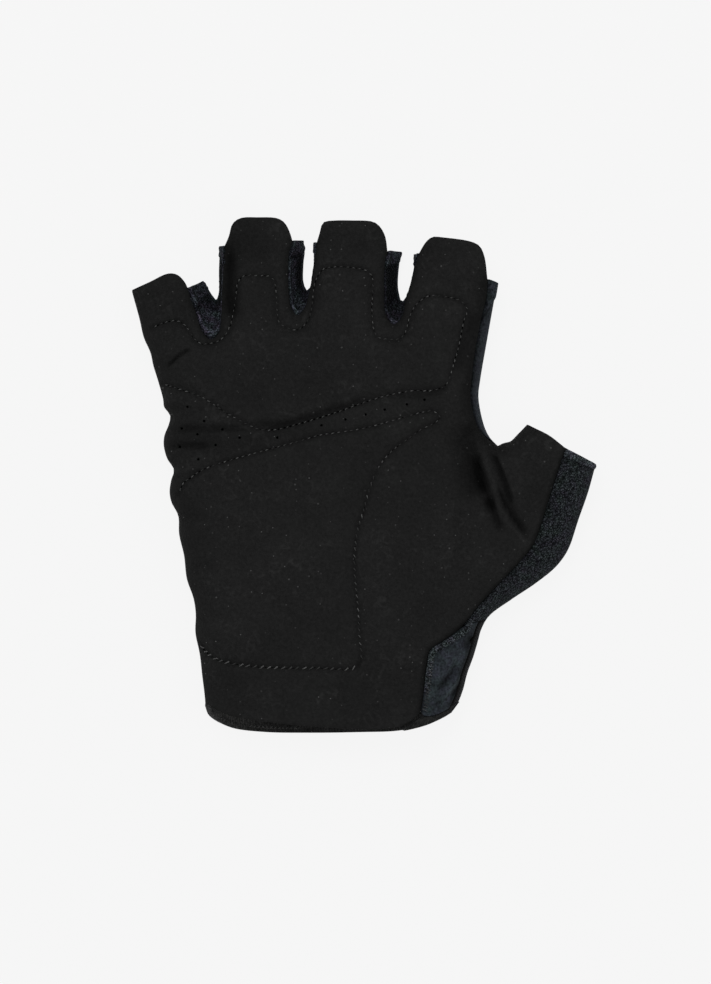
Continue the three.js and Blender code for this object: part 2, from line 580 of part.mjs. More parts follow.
// The binding round the cuff: under the back, round the edge by the thumb and over the gusset's hem.
const CUFF_STEPS = 16;
function cuffBindingSheet() {
  const cut = beside(line.backCut, -SEAM_GAP);
  const hem = along(cut, 0.004, 1, CUFF_STEPS);
  const edge = along(line.backCuff, 0, 1, CUFF_STEPS);
  const under = band(edge, hem, 1);
  const steps = 4;
  const upper = along(beside(line.gussetHem, -SEAM_GAP), 0, 1, steps);
  const lower = between(line.backCuff, [10, -83], BACK_CUFF.at(-1), steps);
  const over = band(lower, upper, 1);
  const bridge = [[edge.at(-1), hem.at(-1)].map(onPalm), [edge.at(-1), hem.at(-1)].map(onBack)];
  over.forEach((row, j) => { row[steps] = [edge.at(-1), hem.at(-1)][j]; });
  return [{ grid: layGrid(under, onBack), faceOut: false }, { grid: bridge, faceOut: false },
    { grid: layGrid(over, onPalm), faceOut: true }];
}

// A knit wall between two fingers: ruled from the palm's edge down to the back's edge, and mitred to
// both, with a soft outward bow and a hem at each fingertip.
const WALL_BOW = 0.5;
function wallSheet(gap) {
  const upper = along(gap.palm, 0.005, 0.995, WALL_STEPS).map(onPalm);
  const lower = along(gap.back, 0.005, 0.995, WALL_STEPS).map(onBack);
  const grid = Array.from({ length: WALL_ROWS + 1 }, (_, k) => upper.map((top, i) => {
    const foot = lower[i];
    const down = foot.at.clone().sub(top.at);
    const reach = down.length();
    const from = SEAM_GAP / reach;
    const share = from + (1 - 2 * from) * (k / WALL_ROWS);
    const out = top.out.clone().lerp(foot.out, share).normalize();
    const at = top.at.clone().addScaledVector(down, share);
    at.addScaledVector(out, -WALL_BOW * Math.sin(Math.PI * share));
    return { at, out };
  }));
  return [{ grid, faceOut: true }];
}

// A foam pad: a layer under the palm, cut to its stitched outline.
function padGeometry(outline) {
  const layer = sheetSolid(palmSheet.slice(0, -1), FOAM, SUEDE + PAD_GAP);
  const shape = new THREE.Shape(
    outline.filter((_, i) => i % 3 === 0).map(({ x, y }) => new THREE.Vector2(x, y)));
  const cutter = new THREE.ExtrudeGeometry(shape, { depth: 60, bevelEnabled: false, steps: 1 });
  cutter.translate(0, 0, -20);
  return geometryFrom(manifoldOf(layer).intersect(manifoldOf(cutter)));
}

// The palm with its round breathing holes cut through.
function perforated(geometry) {
  return geometryFrom(HOLES.reduce((solid, [x, y]) => {
    const punch = new THREE.CylinderGeometry(HOLE_WIDTH / 2, HOLE_WIDTH / 2, 8, 8);
    punch.rotateX(Math.PI / 2).translate(x, y, palmHeight(x, y));
    return solid.subtract(manifoldOf(punch));
  }, manifoldOf(geometry)));
}

// A panel trimmed back from its neighbours where they would touch, as its one largest body.
const CLEARANCE = 0.35;
const widened = (sheet, thickness) => sheetSolid(sheet, thickness + 2 * CLEARANCE, -CLEARANCE);
function trimmed(geometry, ...neighbours) {
  const rest = neighbours.reduce((solid, neighbour) => solid.subtract(manifoldOf(neighbour)),
    manifoldOf(geometry));
  return geometryFrom(rest.decompose().sort((a, b) => b.volume() - a.volume())[0]);
}

function manifoldOf(geometry) {
  const bare = geometry.clone();
  bare.deleteAttribute("normal");
  bare.deleteAttribute("uv");
  const merged = mergeVertices(bare, 1e-4);
  return new wasm.Manifold(new wasm.Mesh({
    numProp: 3,
    vertProperties: merged.attributes.position.array,
    triVerts: new Uint32Array(merged.index.array),
  }));
}

function geometryFrom(solid) {
  const { vertProperties, triVerts } = solid.getMesh();
  const geometry = new THREE.BufferGeometry();
  geometry.setAttribute("position", new THREE.BufferAttribute(vertProperties, 3));
  geometry.setIndex(new THREE.BufferAttribute(triVerts, 1));
  return geometry;
}

const suede = new THREE.MeshStandardMaterial({ color: 0x1e1e1e, roughness: 0.95, metalness: 0 });
const knit = new THREE.MeshStandardMaterial({ color: 0x1b1f26, roughness: 0.9, metalness: 0 });
const terry = new THREE.MeshStandardMaterial({ color: 0x1f2429, roughness: 0.95, metalness: 0 });
const stretch = new THREE.MeshStandardMaterial({ color: 0x262b30, roughness: 0.7, metalness: 0 });
const foam = new THREE.MeshStandardMaterial({ color: 0x2a2a2a, roughness: 1, metalness: 0 });

const glove = new THREE.Group();
function add(name, geometry, material) {
  const mesh = new THREE.Mesh(geometry, material);
  mesh.name = name;
  glove.add(mesh);
}

const palmPanel = perforated(sheetSolid(palmSheet, SUEDE));
const palmSide = [palmPanel, widened(palmSheet, SUEDE)];
const backPanel = trimmed(sheetSolid(backSheet, KNIT), ...palmSide);
const backSide = [backPanel, widened(backSheet, KNIT)];
const thumbSheet = thumbBackSheet();
const thumbSide = [widened(thumbSheet, TERRY)];
const sideSheet = sideBindingSheet();
const sideEdge = [widened(sideSheet, BINDING)];
add("palm_panel", palmPanel, suede);
add("back_panel", backPanel, knit);
gaps.forEach((gap) =>
  add(gap.name, trimmed(sheetSolid(wallSheet(gap), KNIT), ...palmSide, ...backSide), knit));
add("thumb_back", trimmed(sheetSolid(thumbSheet, TERRY), ...palmSide, ...backSide), terry);
add("wrist_gusset", trimmed(sheetSolid(gussetSheet(), KNIT), ...palmSide, ...thumbSide), stretch);
add("side_binding", trimmed(sheetSolid(sideSheet, BINDING), ...backSide, ...thumbSide), knit);
add("cuff_binding",
  trimmed(sheetSolid(cuffBindingSheet(), BINDING), ...palmSide, ...backSide, ...sideEdge), knit);
add("wrist_strap", sheetSolid(strapSheet(), STRAP.thick, -(STRAP.thick + PAD_GAP)), knit);
add("knuckle_pad", padGeometry(pads.knuckle), foam);
add("heel_pad", padGeometry(pads.heel), foam);

export default glove;
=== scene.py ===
"""The looks of a right-hand, half-finger fitness glove that lies on its back with the palm up.

Every panel is a piece of one of two skins. palm_height gives the upper skin over a point of the plan
and back_height the lower one, and they meet at the glove's silhouette. A panel is a set of grids of
points between its cut edges, laid on a skin and closed into a sheet of cloth with rounded edges.
Lengths are in millimetres until a mesh is made.
"""

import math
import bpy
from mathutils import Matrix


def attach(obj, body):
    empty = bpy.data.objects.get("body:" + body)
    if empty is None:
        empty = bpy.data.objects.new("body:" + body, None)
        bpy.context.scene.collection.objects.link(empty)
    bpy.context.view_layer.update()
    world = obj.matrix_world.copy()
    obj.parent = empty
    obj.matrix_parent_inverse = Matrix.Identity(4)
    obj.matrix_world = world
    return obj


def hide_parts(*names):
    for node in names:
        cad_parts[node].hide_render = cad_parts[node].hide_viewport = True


bl_info = {
    "name": "Fitness glove",
    "version": (1, 0, 0),
    "blender": (4, 5, 0),
    "location": "3D View > Sidebar > Glove",
    "description": "Sews the panels, pads, bindings and stitches of a half-finger fitness glove",
    "category": "Add Mesh",
}

import bpy
import numpy as np
from mathutils.geometry import delaunay_2d_cdt

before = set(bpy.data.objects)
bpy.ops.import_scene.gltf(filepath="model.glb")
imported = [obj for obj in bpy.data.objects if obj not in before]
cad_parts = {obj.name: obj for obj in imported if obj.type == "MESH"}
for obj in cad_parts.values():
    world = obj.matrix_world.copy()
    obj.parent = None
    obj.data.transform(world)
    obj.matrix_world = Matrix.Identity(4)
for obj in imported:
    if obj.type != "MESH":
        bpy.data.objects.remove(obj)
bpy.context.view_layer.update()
MM = 0.001

# Cut edges of the panels
SIDE = [
    (-51.4, -90), (-51.6, -74), (-52.6, -65), (-53.4, -58), (-54.8, -51), (-54.7, -45), (-55.4, -40),
    (-57.6, -33.5), (-58.5, -26), (-60.1, -19), (-60.4, -13), (-62.6, -8.6), (-63.2, -5.2),
    (-62.7, -1.5), (-61.8, 1.9), (-64, 5.6), (-65.1, 9.8), (-64.9, 13), (-63.5, 16.6), (-63, 19.5),
    (-65, 22.4), (-65.3, 24.8), (-67.1, 31.3), (-68.5, 35.8), (-69.4, 39.9), (-71.4, 44.4),
    (-72, 46.4), (-72.9, 50.6), (-74.5, 56.5), (-75.5, 60.2), (-77.2, 67),
]
CROTCH = (43.5, 9.7)
INDEX_SIDE = [
    (45.6, 76), (43.3, 62.5), (42.5, 58), (40, 44), (37.8, 31.2), (37.2, 26.1), (37.9, 20.7),
    (39.5, 15), (41.2, 12), CROTCH,
]
THUMB_INSIDE = [CROTCH, (45.4, 10.6), (47.6, 11.2), (50.1, 13.6), (53, 16.6), (56.5, 20.6)]
OUTSIDE = [
    (25.5, -90), (28, -79), (30.3, -74.5), (32.2, -69.6), (33.6, -64.2), (35.6, -58.7), (37.2, -53.2),
    (38, -50.3), (40.5, -45.8), (48, -40.2), (55.5, -35.2), (61.9, -30.1), (65.1, -26.2),
    (67, -22.6), (69.6, -14.7), (72.9, -5.2), (75.4, 3.9), (77.1, 9.5),
]
INDEX_SEAM = [
    (40.1, 63.6), (39.7, 57.8), (38, 50.9), (35.9, 39.6), (34.9, 31.1), (34.5, 26.1), (35.4, 20.2),
    (37.4, 14.8), (40, 12), CROTCH,
]
THUMB_SEAM = [
    (31, -49.8), (34, -46.2), (37, -42.3), (43, -35.8), (50, -28.4), (54.6, -22.6), (57.4, -15.4),
    (60.4, -5.7), (63.6, 4.2), (65.3, 8.6),
]
GUSSET_SEAM = [(18.1, -77.2), (19.1, -70.6), (20.1, -62.2), (21.4, -56.4), (25.4, -53.6), (31, -49.8)]
PALM_CUFF = [
    (-51.4, -73.4), (-47.5, -76.2), (-41, -78.2), (-27.5, -80.2), (-12.4, -81.5), (4.5, -82.1),
    (13.3, -80.5), (18.1, -77.2),
]
BACK_CUFF = [
    (-51.7, -74.8), (-50.4, -78.1), (-43.6, -81.7), (-33, -83.2), (-18, -83.5), (-1.6, -83.3),
    (11.3, -82.8), (20.1, -80.9), (25.6, -78.6), (28.4, -77),
]
BACK_CUT = [
    (-51.5, -71.6), (-46.6, -75.2), (-38, -77.7), (-24, -79), (-6, -79.3), (9, -78.6), (19, -76.3),
    (26, -74.2), (30.9, -73.2),
]
GUSSET_HEM = [(19, -77.9), (22.4, -77.7), (25.2, -76.7), (28, -75.2)]
PALM_THUMB_ROOT = [(54.6, -22.6), (51, -8), CROTCH]
BACK_THUMB_ROOT = [(64.9, -26.1), (53, -9), CROTCH]
THUMB_TIP = [(65.3, 8.6), (59.9, 12.8), (53, 16.6)]
THUMB_BACK_TIP = [(75.3, 3.9), (65.2, 9.2), (53, 16.6)]

# Gaps between the fingers: the palm's edge and the back's, each from one fingertip round the web to
# the next, the shares of their lengths at which the web begins and ends, and the share of the way
# down at which the wall grows dark
GAPS = [
    {
        "name": "wall_little_ring",
        "palm": [
            (-57, 60.3), (-56.3, 57.3), (-54.8, 53.5), (-53.6, 49.6), (-52.4, 46.6), (-49.8, 44.2),
            (-47.2, 46.2), (-46.3, 52.3), (-46, 60.4), (-45.5, 69), (-45.3, 74.3),
        ],
        "back": [
            (-52, 62.9), (-50.8, 61), (-49.3, 58.6), (-48.1, 57.2), (-47.3, 59.4), (-47.2, 66.9),
            (-46.9, 74),
        ],
        "palm_web": (0.27, 0.4),
        "back_web": (0.22, 0.34),
        "shadow": 0.5,
    },
    {
        "name": "wall_ring_middle",
        "palm": [
            (-23.2, 76), (-24.4, 71.8), (-24.7, 64.9), (-24.3, 58.5), (-23.7, 54.6), (-21.6, 52),
            (-19.4, 54.2), (-17.6, 60.2), (-16.6, 66.9), (-16, 71), (-15.5, 75),
        ],
        "back": [
            (-19.7, 75.8), (-19.3, 72.8), (-19.7, 69), (-19.6, 62.2), (-18.4, 60.2), (-17.2, 62.2),
            (-16.4, 68.8), (-16.2, 75.3),
        ],
        "palm_web": (0.44, 0.57),
        "back_web": (0.4, 0.6),
        "shadow": 0.48,
    },
    {
        "name": "wall_middle_index",
        "palm": [
            (7.6, 72.4), (6.8, 69.4), (6.6, 57.7), (6.9, 52.8), (9.6, 49), (12.2, 51.4), (13.8, 58.1),
            (15.7, 64.1), (16.7, 69), (17.8, 72),
        ],
        "back": [
            (12.1, 72.2), (11.5, 69), (11.1, 61), (12.3, 56.6), (13.8, 58.4), (15.5, 64.1),
            (16.4, 69), (16.4, 71.4),
        ],
        "palm_web": (0.42, 0.58),
        "back_web": (0.4, 0.56),
        "shadow": -0.05,
    },
]

# Free tabs of the palm at the fingertips, from the little finger to the index finger
TABS = [
    [(-75.4, 60.2), (-69.5, 62.7), (-63.6, 65.3), (-60.6, 64.9), (-58.2, 62.6), (-57, 60.3)],
    [
        (-45.3, 74.3), (-43.8, 77.4), (-42.5, 81.4), (-40, 83.2), (-34.4, 83.5), (-28.4, 83.2),
        (-26.1, 82), (-24.4, 79.4), (-23.2, 76),
    ],
    [
        (-15.5, 75), (-14.4, 78.3), (-13.2, 81.7), (-10, 82.4), (-4, 82.5), (2.8, 82.1), (4.9, 80.7),
        (6.8, 77.3), (7.6, 72.4),
    ],
    [
        (17.8, 72), (19.9, 75.3), (22, 77), (25.4, 77), (35, 75.6), (37.5, 74.2), (39, 71),
        (40.1, 63.6),
    ],
]
BACK_TIPS = [
    ((-74.2, 55.6), (-52, 62.9)), ((-46.9, 74), (-19.7, 75.8)), ((-16.2, 75.3), (11.9, 72.2)),
    ((16.4, 71.4), (43.3, 62.5)),
]

# Stitched outlines of the two pads
KNUCKLE_PAD = [
    (-65.6, 30), (-59.5, 28), (-52.8, 25.6), (-48.6, 23), (-44.5, 20.3), (-40.8, 18.2), (-37.8, 16.7),
    (-34.1, 15.1), (-29.2, 14.8), (-22.1, 16.5), (-9.2, 20.4), (5.2, 25.4), (15.3, 27.5), (22.1, 27.7),
    (26.6, 29.5), (28.9, 35.9), (30.6, 41.8), (32.4, 50.3), (33.5, 53.8), (31.9, 56.3), (29.4, 57.4),
    (26.4, 58), (21.1, 58.3), (18.7, 57), (16.3, 54.6), (14.5, 50.3), (13.3, 46.2), (11.3, 44.3),
    (7.5, 44.2), (5, 44.6), (3.5, 46.2), (2.7, 50.3), (2.5, 55.3), (2.8, 60.7), (2.5, 64.7),
    (0.8, 66.5), (-2, 67.2), (-7.5, 67.8), (-13.1, 67), (-14.8, 65), (-16.1, 61.7), (-16.6, 56.8),
    (-17.4, 52.3), (-18.8, 49.4), (-21.8, 47.2), (-25.4, 48.1), (-27.5, 49.6), (-28.1, 52),
    (-28.5, 57.7), (-29, 62.4), (-30.2, 64.4), (-34.5, 64.9), (-39.3, 64.6), (-40.9, 62.6),
    (-41.3, 59.8), (-42.6, 51.5), (-43.4, 48.6), (-45, 45.5), (-47.4, 43.5), (-50, 42.8),
    (-52.6, 42.7), (-54.6, 43.8), (-56.8, 47), (-59, 49.5), (-61.2, 50.2), (-65.4, 49.4),
    (-69.2, 47.6),
]
HEEL_PAD = [
    (-60.2, -6.3), (-58.2, -2.1), (-56.4, -0.9), (-52.8, 1.6), (-48.2, 3.5), (-43.2, 5.1),
    (-30.2, 8.7), (-20, 11.5), (-14.6, 13.1), (-9.2, 13.9), (-0.3, 15.3), (10.1, 18.1), (18.2, 20.4),
    (22.4, 20.9), (24.6, 18.9), (23.1, 17.2), (18.6, 15), (14.2, 11.9), (10.2, 9), (7.1, 6),
    (3.9, 1.2), (1.3, -6), (-0.1, -11.3), (-1.9, -17.1), (-2.8, -22.8), (-3.1, -27.5),
    (-2.8, -33.9), (-1.9, -43.2), (-1.3, -53.6), (-0.8, -58.6), (-1.7, -61.3), (-4.4, -62.6),
    (-14.1, -62.4), (-26.3, -62.3), (-37.3, -61.7), (-46.6, -60), (-49.5, -58.6), (-51.8, -56.5),
    (-53.4, -53.8),
]

# Breathing holes between the pads
HOLES = np.array([
    (-51.8, 17.7), (-59.1, 15.3), (-54, 13.4), (-45.9, 15), (-40.3, 12.3), (-48.1, 9.9), (-59.7, 9.3),
    (-57.2, 22.3), (-53.7, 5.3), (-28.1, 12.3), (-13.8, 16.3), (-6, 18.2), (0.5, 19.8), (6.7, 21.4),
    (13.9, 23.1), (19.6, 24.6),
])

# Folds of the palm: the line, the widths to its left and right, the depth, and how much darker the
# suede is painted along it: painted shade in a fold, a painted highlight where this is negative, and
# in the rows of depth 0 the suede only made darker over broad areas
FOLDS = [
    ([(33.5, 18), (34.6, 8), (36.4, 0), (39.4, -6.5)], 2.4, 6.2, 2.6, 0.5),
    ([(37.2, 8), (37.6, 3.3), (38.8, -1), (40.2, -5), (42, -8.8), (43.4, -12)], 0.6, 2.5, 1.6, 0.58),
    ([(38.6, 7.2), (40.1, 2.6), (41.4, -1.4), (42.6, -6)], 0.9, 0.8, -0.8, -0.2),
    (
        [(42.4, -7.6), (43.5, -9.9), (44.9, -13), (46.7, -15.8), (49.6, -18.6), (53, -22.4)],
        0.6, 0.6, -0.8, -0.28,
    ),
    ([(41.9, 8.6), (43.1, 5.5), (44.9, 1.1), (46.4, -2.8), (47.8, -7.2), (48.4, -9.6)], 0.45, 1.9, 1.5, 0.62),
    (
        [(43.4, -2.4), (44.4, -7), (46.4, -10.8), (48.2, -13.7), (50.3, -16.6), (53.4, -20.6)],
        1.9, 0.6, 1.2, 0.64,
    ),
    ([(44, -3.4), (45.4, -5.9), (47, -9)], 0.5, 0.5, -0.5, -0.22),
    ([(40, -7), (41.4, -10), (43.2, -13.8), (45.2, -18.2)], 1.0, 1.8, 0.9, 0.55),
    ([(40, -15.8), (43.5, -18.4), (47.5, -20.2), (53.2, -22.9)], 0.9, 0.9, -0.5, -0.1),
    ([(41, -20.5), (43, -22.5), (45, -24.5)], 1.5, 1.8, 0.5, 0.12),
    ([(-56, 41.2), (-60, 38.7), (-64.2, 34.8)], 0.5, 0.8, 1.2, 0.55),
    ([(-62, 15.2), (-50, 15.1), (-36, 15.4)], 1.5, 1.2, 1.1, 0.3),
    ([(-63.5, 9.6), (-56, 9.6), (-50, 9.3)], 1.4, 1.2, 1.1, 0.35),
    ([(-64, 20.8), (-56, 21.4), (-51, 20.6)], 1.4, 1.2, 0.5, 0.1),
    ([(-63, -1), (-57, 0.4), (-53, 1.4)], 1.2, 1.4, 0.6, 0.15),
    ([(-37, 17.4), (-29.2, 16), (-21, 17.9), (-7, 22), (4, 26)], 1.7, 0.8, 0.9, 0.4),
    ([(8, 25.4), (22, 26.6), (28, 29)], 1, 1.2, 0.5, 0.25),
    ([(29.2, 33), (32.6, 44), (35.2, 54)], 1.1, 2.6, 1, 0.32),
    ([(-43.4, 50), (-43.8, 60), (-43.2, 77)], 2, 3, 0.8, 0.68),
    ([(20, -12), (22, -22), (21, -34)], 2.6, 2.6, 0.25, 0.05),
    ([(32, -10), (30.8, -18), (31.4, -28)], 2.2, 2.2, 0.3, 0.06),
    ([(-46, -66), (-37, -66.2), (-28, -67.5)], 2.4, 2.4, 0.25, 0.05),
    ([(-12, -68), (0, -67.8), (10, -66.5)], 2.6, 2.6, 0.2, 0.05),
    ([(-56.5, -31), (-52, -29.6), (-47, -29)], 2, 2, 0.5, 0.08),
    ([(-60.3, -15.5), (-56, -13.7), (-50, -13)], 1.8, 1.8, 0.5, 0.08),
    ([(-54.5, -47), (-50, -45.8), (-45, -45.5)], 2, 2, 0.4, 0.08),
    ([(-34, 70), (-31, 73), (-29, 77)], 2.2, 2.2, 0.25, 0.06),
    ([(-3, 70), (-1.5, 74), (1, 77)], 2.2, 2.2, 0.25, 0.06),
    ([(28, 62), (32, 64), (36, 68)], 2.2, 2.2, 0.25, 0.06),
    ([(-42, 73), (-36, 75), (-30, 76)], 7, 9, 0, 0.22),
    ([(-74, 58), (-64, 55), (-55, 47)], 7, 8, 0, 0.14),
    ([(-66, 12), (-40, 11), (-10, 16)], 5, 4, 0, 0.2),
    ([(48, 12), (55, 4), (60, -8)], 7, 7, 0, 0.1),
    ([(-50, 28), (-20, 30), (10, 34)], 9, 7, 0, 0.08),
]

FOLD_DEPTH, FOLD_DARK = 3, 4

# Ridges and hollows of the gusset: the line, the width and the height, which also sets how much
# lighter or darker they are painted
GUSSET_FOLDS = [
    ([(33.2, -63.6), (29.6, -67.6), (25, -72)], 1.0, 0.7),
    ([(29.6, -61.8), (26.8, -66), (23.4, -70)], 1.0, -0.75),
    ([(32, -65.6), (30, -68.8), (28, -71.8)], 0.9, -1),
    ([(29.2, -58.6), (26.4, -63.2), (23.4, -67)], 0.9, 0.4),
    ([(34.6, -51.5), (33, -56)], 1.0, -0.7),
]

# Where the fingertips and the thumb's tip begin to curl up, and by how much
FINGER_CURL = {"to_x": 48, "from_y": 52, "over": 32, "rise": 2.2}
THUMB_CURL = {"from_x": 44, "x": 56, "y": -12, "dir": (0.51, 0.86), "over": 26, "rise": 1.8}

# Heights of the two skins at the silhouette, and how far in from it each of them is rounded
EDGE_TOP = 7.8
EDGE_BOTTOM = 7.2
ROUND = {"side": 10, "crotch": 7.5, "outer": 12}
UNDER = {"side": 7, "crotch": 7, "outer": 7}

# Gaps between neighbouring pieces, and how far the rim of a sheet stands out
PAD_GAP = 0.35
SEAM_GAP = 0.4
EDGE = 0.19

# Small parts: pads, strap, gusset, breathing holes and the widths of the hems
PADS = ("knuckle_pad", "heel_pad")
PAD_FROM_SIDE = 6
STRAP = {"from_x": -26, "from_y": -72, "to_y": -54, "round": 6, "from_edge": 3, "margin": 7, "fade": 10}
RIM_WIDTH = 1.6
GUSSET_NOTCH = -53.4
HOLE_SIDES = 16
HOLE_TURN = 0.1
PUNCH_REACH = 5.0
WALL_HEM = 3.2
THUMB_HEM = 1.9
WRAP_HEM = 5.1

# Cells of the grids: up the hand from the cuff, up a finger, across a finger and round a web
PALM_STEPS = {
    "gusset": 32, "thumb_seam": 44, "thumb_root": 60, "index": 56, "finger": 46, "across": 28, "web": 6,
}
BACK_STEPS = {
    "gusset": 16, "thumb_seam": 20, "thumb_root": 20, "index": 24, "finger": 30, "across": 16, "web": 4,
}
FINGER_BUNCH = 0.75
RELAX_ROUNDS = 24

# Floor, lights and camera: places and widths in metres, power in watts, lens and sensor in millimetres
FLOOR_REACH = 4
FLOOR_LEVEL = -0.0003
FLOOR_GLOW = 0.887
SKY = 0.45
LIGHTS = [("key", (-0.3, 0.7, 1.6), 0.8, 11), ("fill", (0.8, -0.3, 1.4), 1.2, 4)]
CAMERA = {"x": -0.00276, "y": -0.0053, "aim": 0.009, "view_height": 0.3198, "lens": 400, "sensor": 36}

# Lines and the points on them


def smooth_line(points, steps=220):
    """A line through points: between two of them a cubic whose end slopes come from the points on both
    sides, spaced by the square roots of their distances."""
    p = np.asarray(points, float)
    p = np.vstack([2 * p[0] - p[1], p, 2 * p[-1] - p[-2]])
    t = np.linspace(0, len(points) - 1, steps + 1)
    k = np.minimum(t.astype(int), len(points) - 2)
    w = (t - k)[:, None]
    p0, p1, p2, p3 = (p[k + i] for i in range(4))
    d0, d1, d2 = (np.sqrt(np.linalg.norm(b - a, axis=1))[:, None] for a, b in ((p0, p1), (p1, p2), (p2, p3)))
    slope1 = ((p1 - p0) / d0 - (p2 - p0) / (d0 + d1) + (p2 - p1) / d1) * d1
    slope2 = ((p2 - p1) / d1 - (p3 - p1) / (d1 + d2) + (p3 - p2) / d2) * d1
    return (
        (2 * w**3 - 3 * w**2 + 1) * p1
        + (w**3 - 2 * w**2 + w) * slope1
        + (3 * w**2 - 2 * w**3) * p2
        + (w**3 - w**2) * slope2
    )


def reach(line):
    """Length of a line up to each of its points."""
    return np.concatenate([[0], np.cumsum(np.linalg.norm(np.diff(line, axis=0), axis=1))])


def at_lengths(line, wanted):
    """Points of a line at given lengths along it."""
    lengths = reach(line)
    return np.stack([np.interp(wanted, lengths, line[:, k]) for k in range(line.shape[1])], 1)


def along(line, start, end, steps, bunch=0.0):
    """The piece of a line between two shares of its length. bunch draws the points towards both ends."""
    share = np.linspace(0, 1, steps + 1)
    share = share + bunch * ((1 - np.cos(np.pi * share)) / 2 - share)
    return at_lengths(line, (start + (end - start) * share) * reach(line)[-1])


def share_at(line, point):
    """The share of a line's length at which it is nearest to a point."""
    lengths = reach(line)
    return lengths[np.linalg.norm(line - np.asarray(point), axis=1).argmin()] / lengths[-1]


def between(line, start, end, steps):
    """The piece of a line between its points nearest to two given points."""
    return along(line, share_at(line, start), share_at(line, end), steps)


def beside(line, distance):
    """A line moved sideways, to its left if the distance is positive."""
    step = np.gradient(line, axis=0)
    step /= np.linalg.norm(step, axis=1)[:, None]
    return line + distance * np.stack([-step[:, 1], step[:, 0]], 1)


def nearest(line, xy):
    """Distance from each point to a line, the least of the distances to its straight steps, positive to
    the line's left, and how far along the line its nearest step is, from 0 to 1."""
    shape = xy.shape[:-1]
    xy = xy.reshape(-1, 2)
    start, step = line[:-1], np.diff(line, axis=0)
    squared = np.maximum((step**2).sum(1), 1e-12)
    found, share = np.empty(len(xy)), np.empty(len(xy))
    for part in np.array_split(np.arange(len(xy)), len(xy) // 4000 + 1):
        off = xy[part, None] - start
        reached = np.clip((off * step).sum(2) / squared, 0, 1)
        off -= reached[..., None] * step
        distance = (off**2).sum(2)
        least = distance.argmin(1)
        rows = np.arange(len(part))
        turn = step[least, 0] * off[rows, least, 1] - step[least, 1] * off[rows, least, 0]
        found[part] = np.sqrt(distance[rows, least]) * np.where(turn < 0, -1, 1)
        share[part] = (least + reached[rows, least]) / len(step)
    return found.reshape(shape), share.reshape(shape)


def inside(line, xy, cloth_side):
    """Distance from each point to a line, negative on the side away from the cloth. cloth_side is 1
    where the cloth lies to the line's left and -1 where it lies to its right."""
    return nearest(line, xy)[0] * cloth_side


LINE = {
    name: smooth_line(points, steps)
    for name, points, steps in (
        ("side", SIDE, 320), ("index", INDEX_SIDE, 220), ("thumb_inside", THUMB_INSIDE, 120),
        ("outside", OUTSIDE, 300), ("index_seam", INDEX_SEAM, 220), ("thumb_seam", THUMB_SEAM, 220),
        ("gusset_seam", GUSSET_SEAM, 220), ("palm_cuff", PALM_CUFF, 220), ("back_cuff", BACK_CUFF, 220),
        ("back_cut", BACK_CUT, 220), ("gusset_hem", GUSSET_HEM, 220),
        ("palm_thumb_root", PALM_THUMB_ROOT, 220), ("back_thumb_root", BACK_THUMB_ROOT, 220),
        ("thumb_tip", THUMB_TIP, 220), ("thumb_back_tip", THUMB_BACK_TIP, 220),
        ("knuckle_pad", KNUCKLE_PAD, 360), ("heel_pad", HEEL_PAD, 300),
    )
}
LINE["crotch"] = np.vstack([LINE["index"], LINE["thumb_inside"][1:]])
for gap in GAPS:
    gap["palm"] = smooth_line(gap["palm"])
    gap["back"] = smooth_line(gap["back"])

# The two skins


def size(name):
    """A size of the glove in millimetres."""
    return getattr(bpy.context.scene.glove_sizes, name) / MM


def quarter(distance, round_over):
    """A quarter ellipse: 0 at the edge and 1 from round_over inwards."""
    return np.sqrt(np.maximum(1 - (1 - np.clip(distance / round_over, 0, 1)) ** 2, 0))


def parabola(distance, over, depth):
    """depth at the edge, falling as a parabola to 0 at the distance `over`."""
    return depth * np.clip(1 - distance / over, 0, None) ** 2


def smooth_step(value):
    """0 below 0 and 1 above 1, with a cubic between."""
    share = np.clip(value, 0, 1)
    return share * share * (3 - 2 * share)


def bell(distance):
    """A bell curve: 1 at the distance 0, exp(-distance^2) away from it."""
    return np.exp(-(distance**2))


def fading(share, start):
    """Nearly 1 along most of a line, with a cubic down at both of its ends."""
    return smooth_step(share * 4 + start) * smooth_step((1 - share) * 4 + start)


def curl(xy):
    """Lift of the fingertips and of the thumb's tip: a parabola of the distance past a line."""
    x, y = xy[..., 0], xy[..., 1]
    past = np.maximum(0, (y - FINGER_CURL["from_y"]) / FINGER_CURL["over"])
    finger = np.where(x < FINGER_CURL["to_x"], past**2 * FINGER_CURL["rise"], 0)
    ahead = (x - THUMB_CURL["x"]) * THUMB_CURL["dir"][0] + (y - THUMB_CURL["y"]) * THUMB_CURL["dir"][1]
    past = np.maximum(0, ahead / THUMB_CURL["over"])
    thumb = np.where(x > THUMB_CURL["from_x"], past**2 * THUMB_CURL["rise"], 0)
    return finger + thumb


def rounding(xy, over):
    """Product of three quarter ellipses of the distances to the glove's silhouette."""
    return (
        quarter(inside(LINE["side"], xy, -1), over["side"])
        * quarter(inside(LINE["crotch"], xy, -1), over["crotch"])
        * quarter(inside(LINE["outside"], xy, 1), over["outer"])
    )


def fold_sum(xy, column, spread=1.0):
    """Sum over the folds of a column of their table times exp(-q) * (1 - 0.4 q), where q is the squared
    distance to the fold's line over its squared width on that side. It fades out at the line's ends."""
    total = np.zeros(xy.shape[:-1])
    for fold in FOLDS:
        across, share = nearest(smooth_line(fold[0], 24), xy)
        q = (across / np.where(across > 0, fold[1], fold[2]) / spread) ** 2
        total += fold[column] * (1 - 0.4 * q) * np.exp(-q) * fading(share, 0.2)
    return total


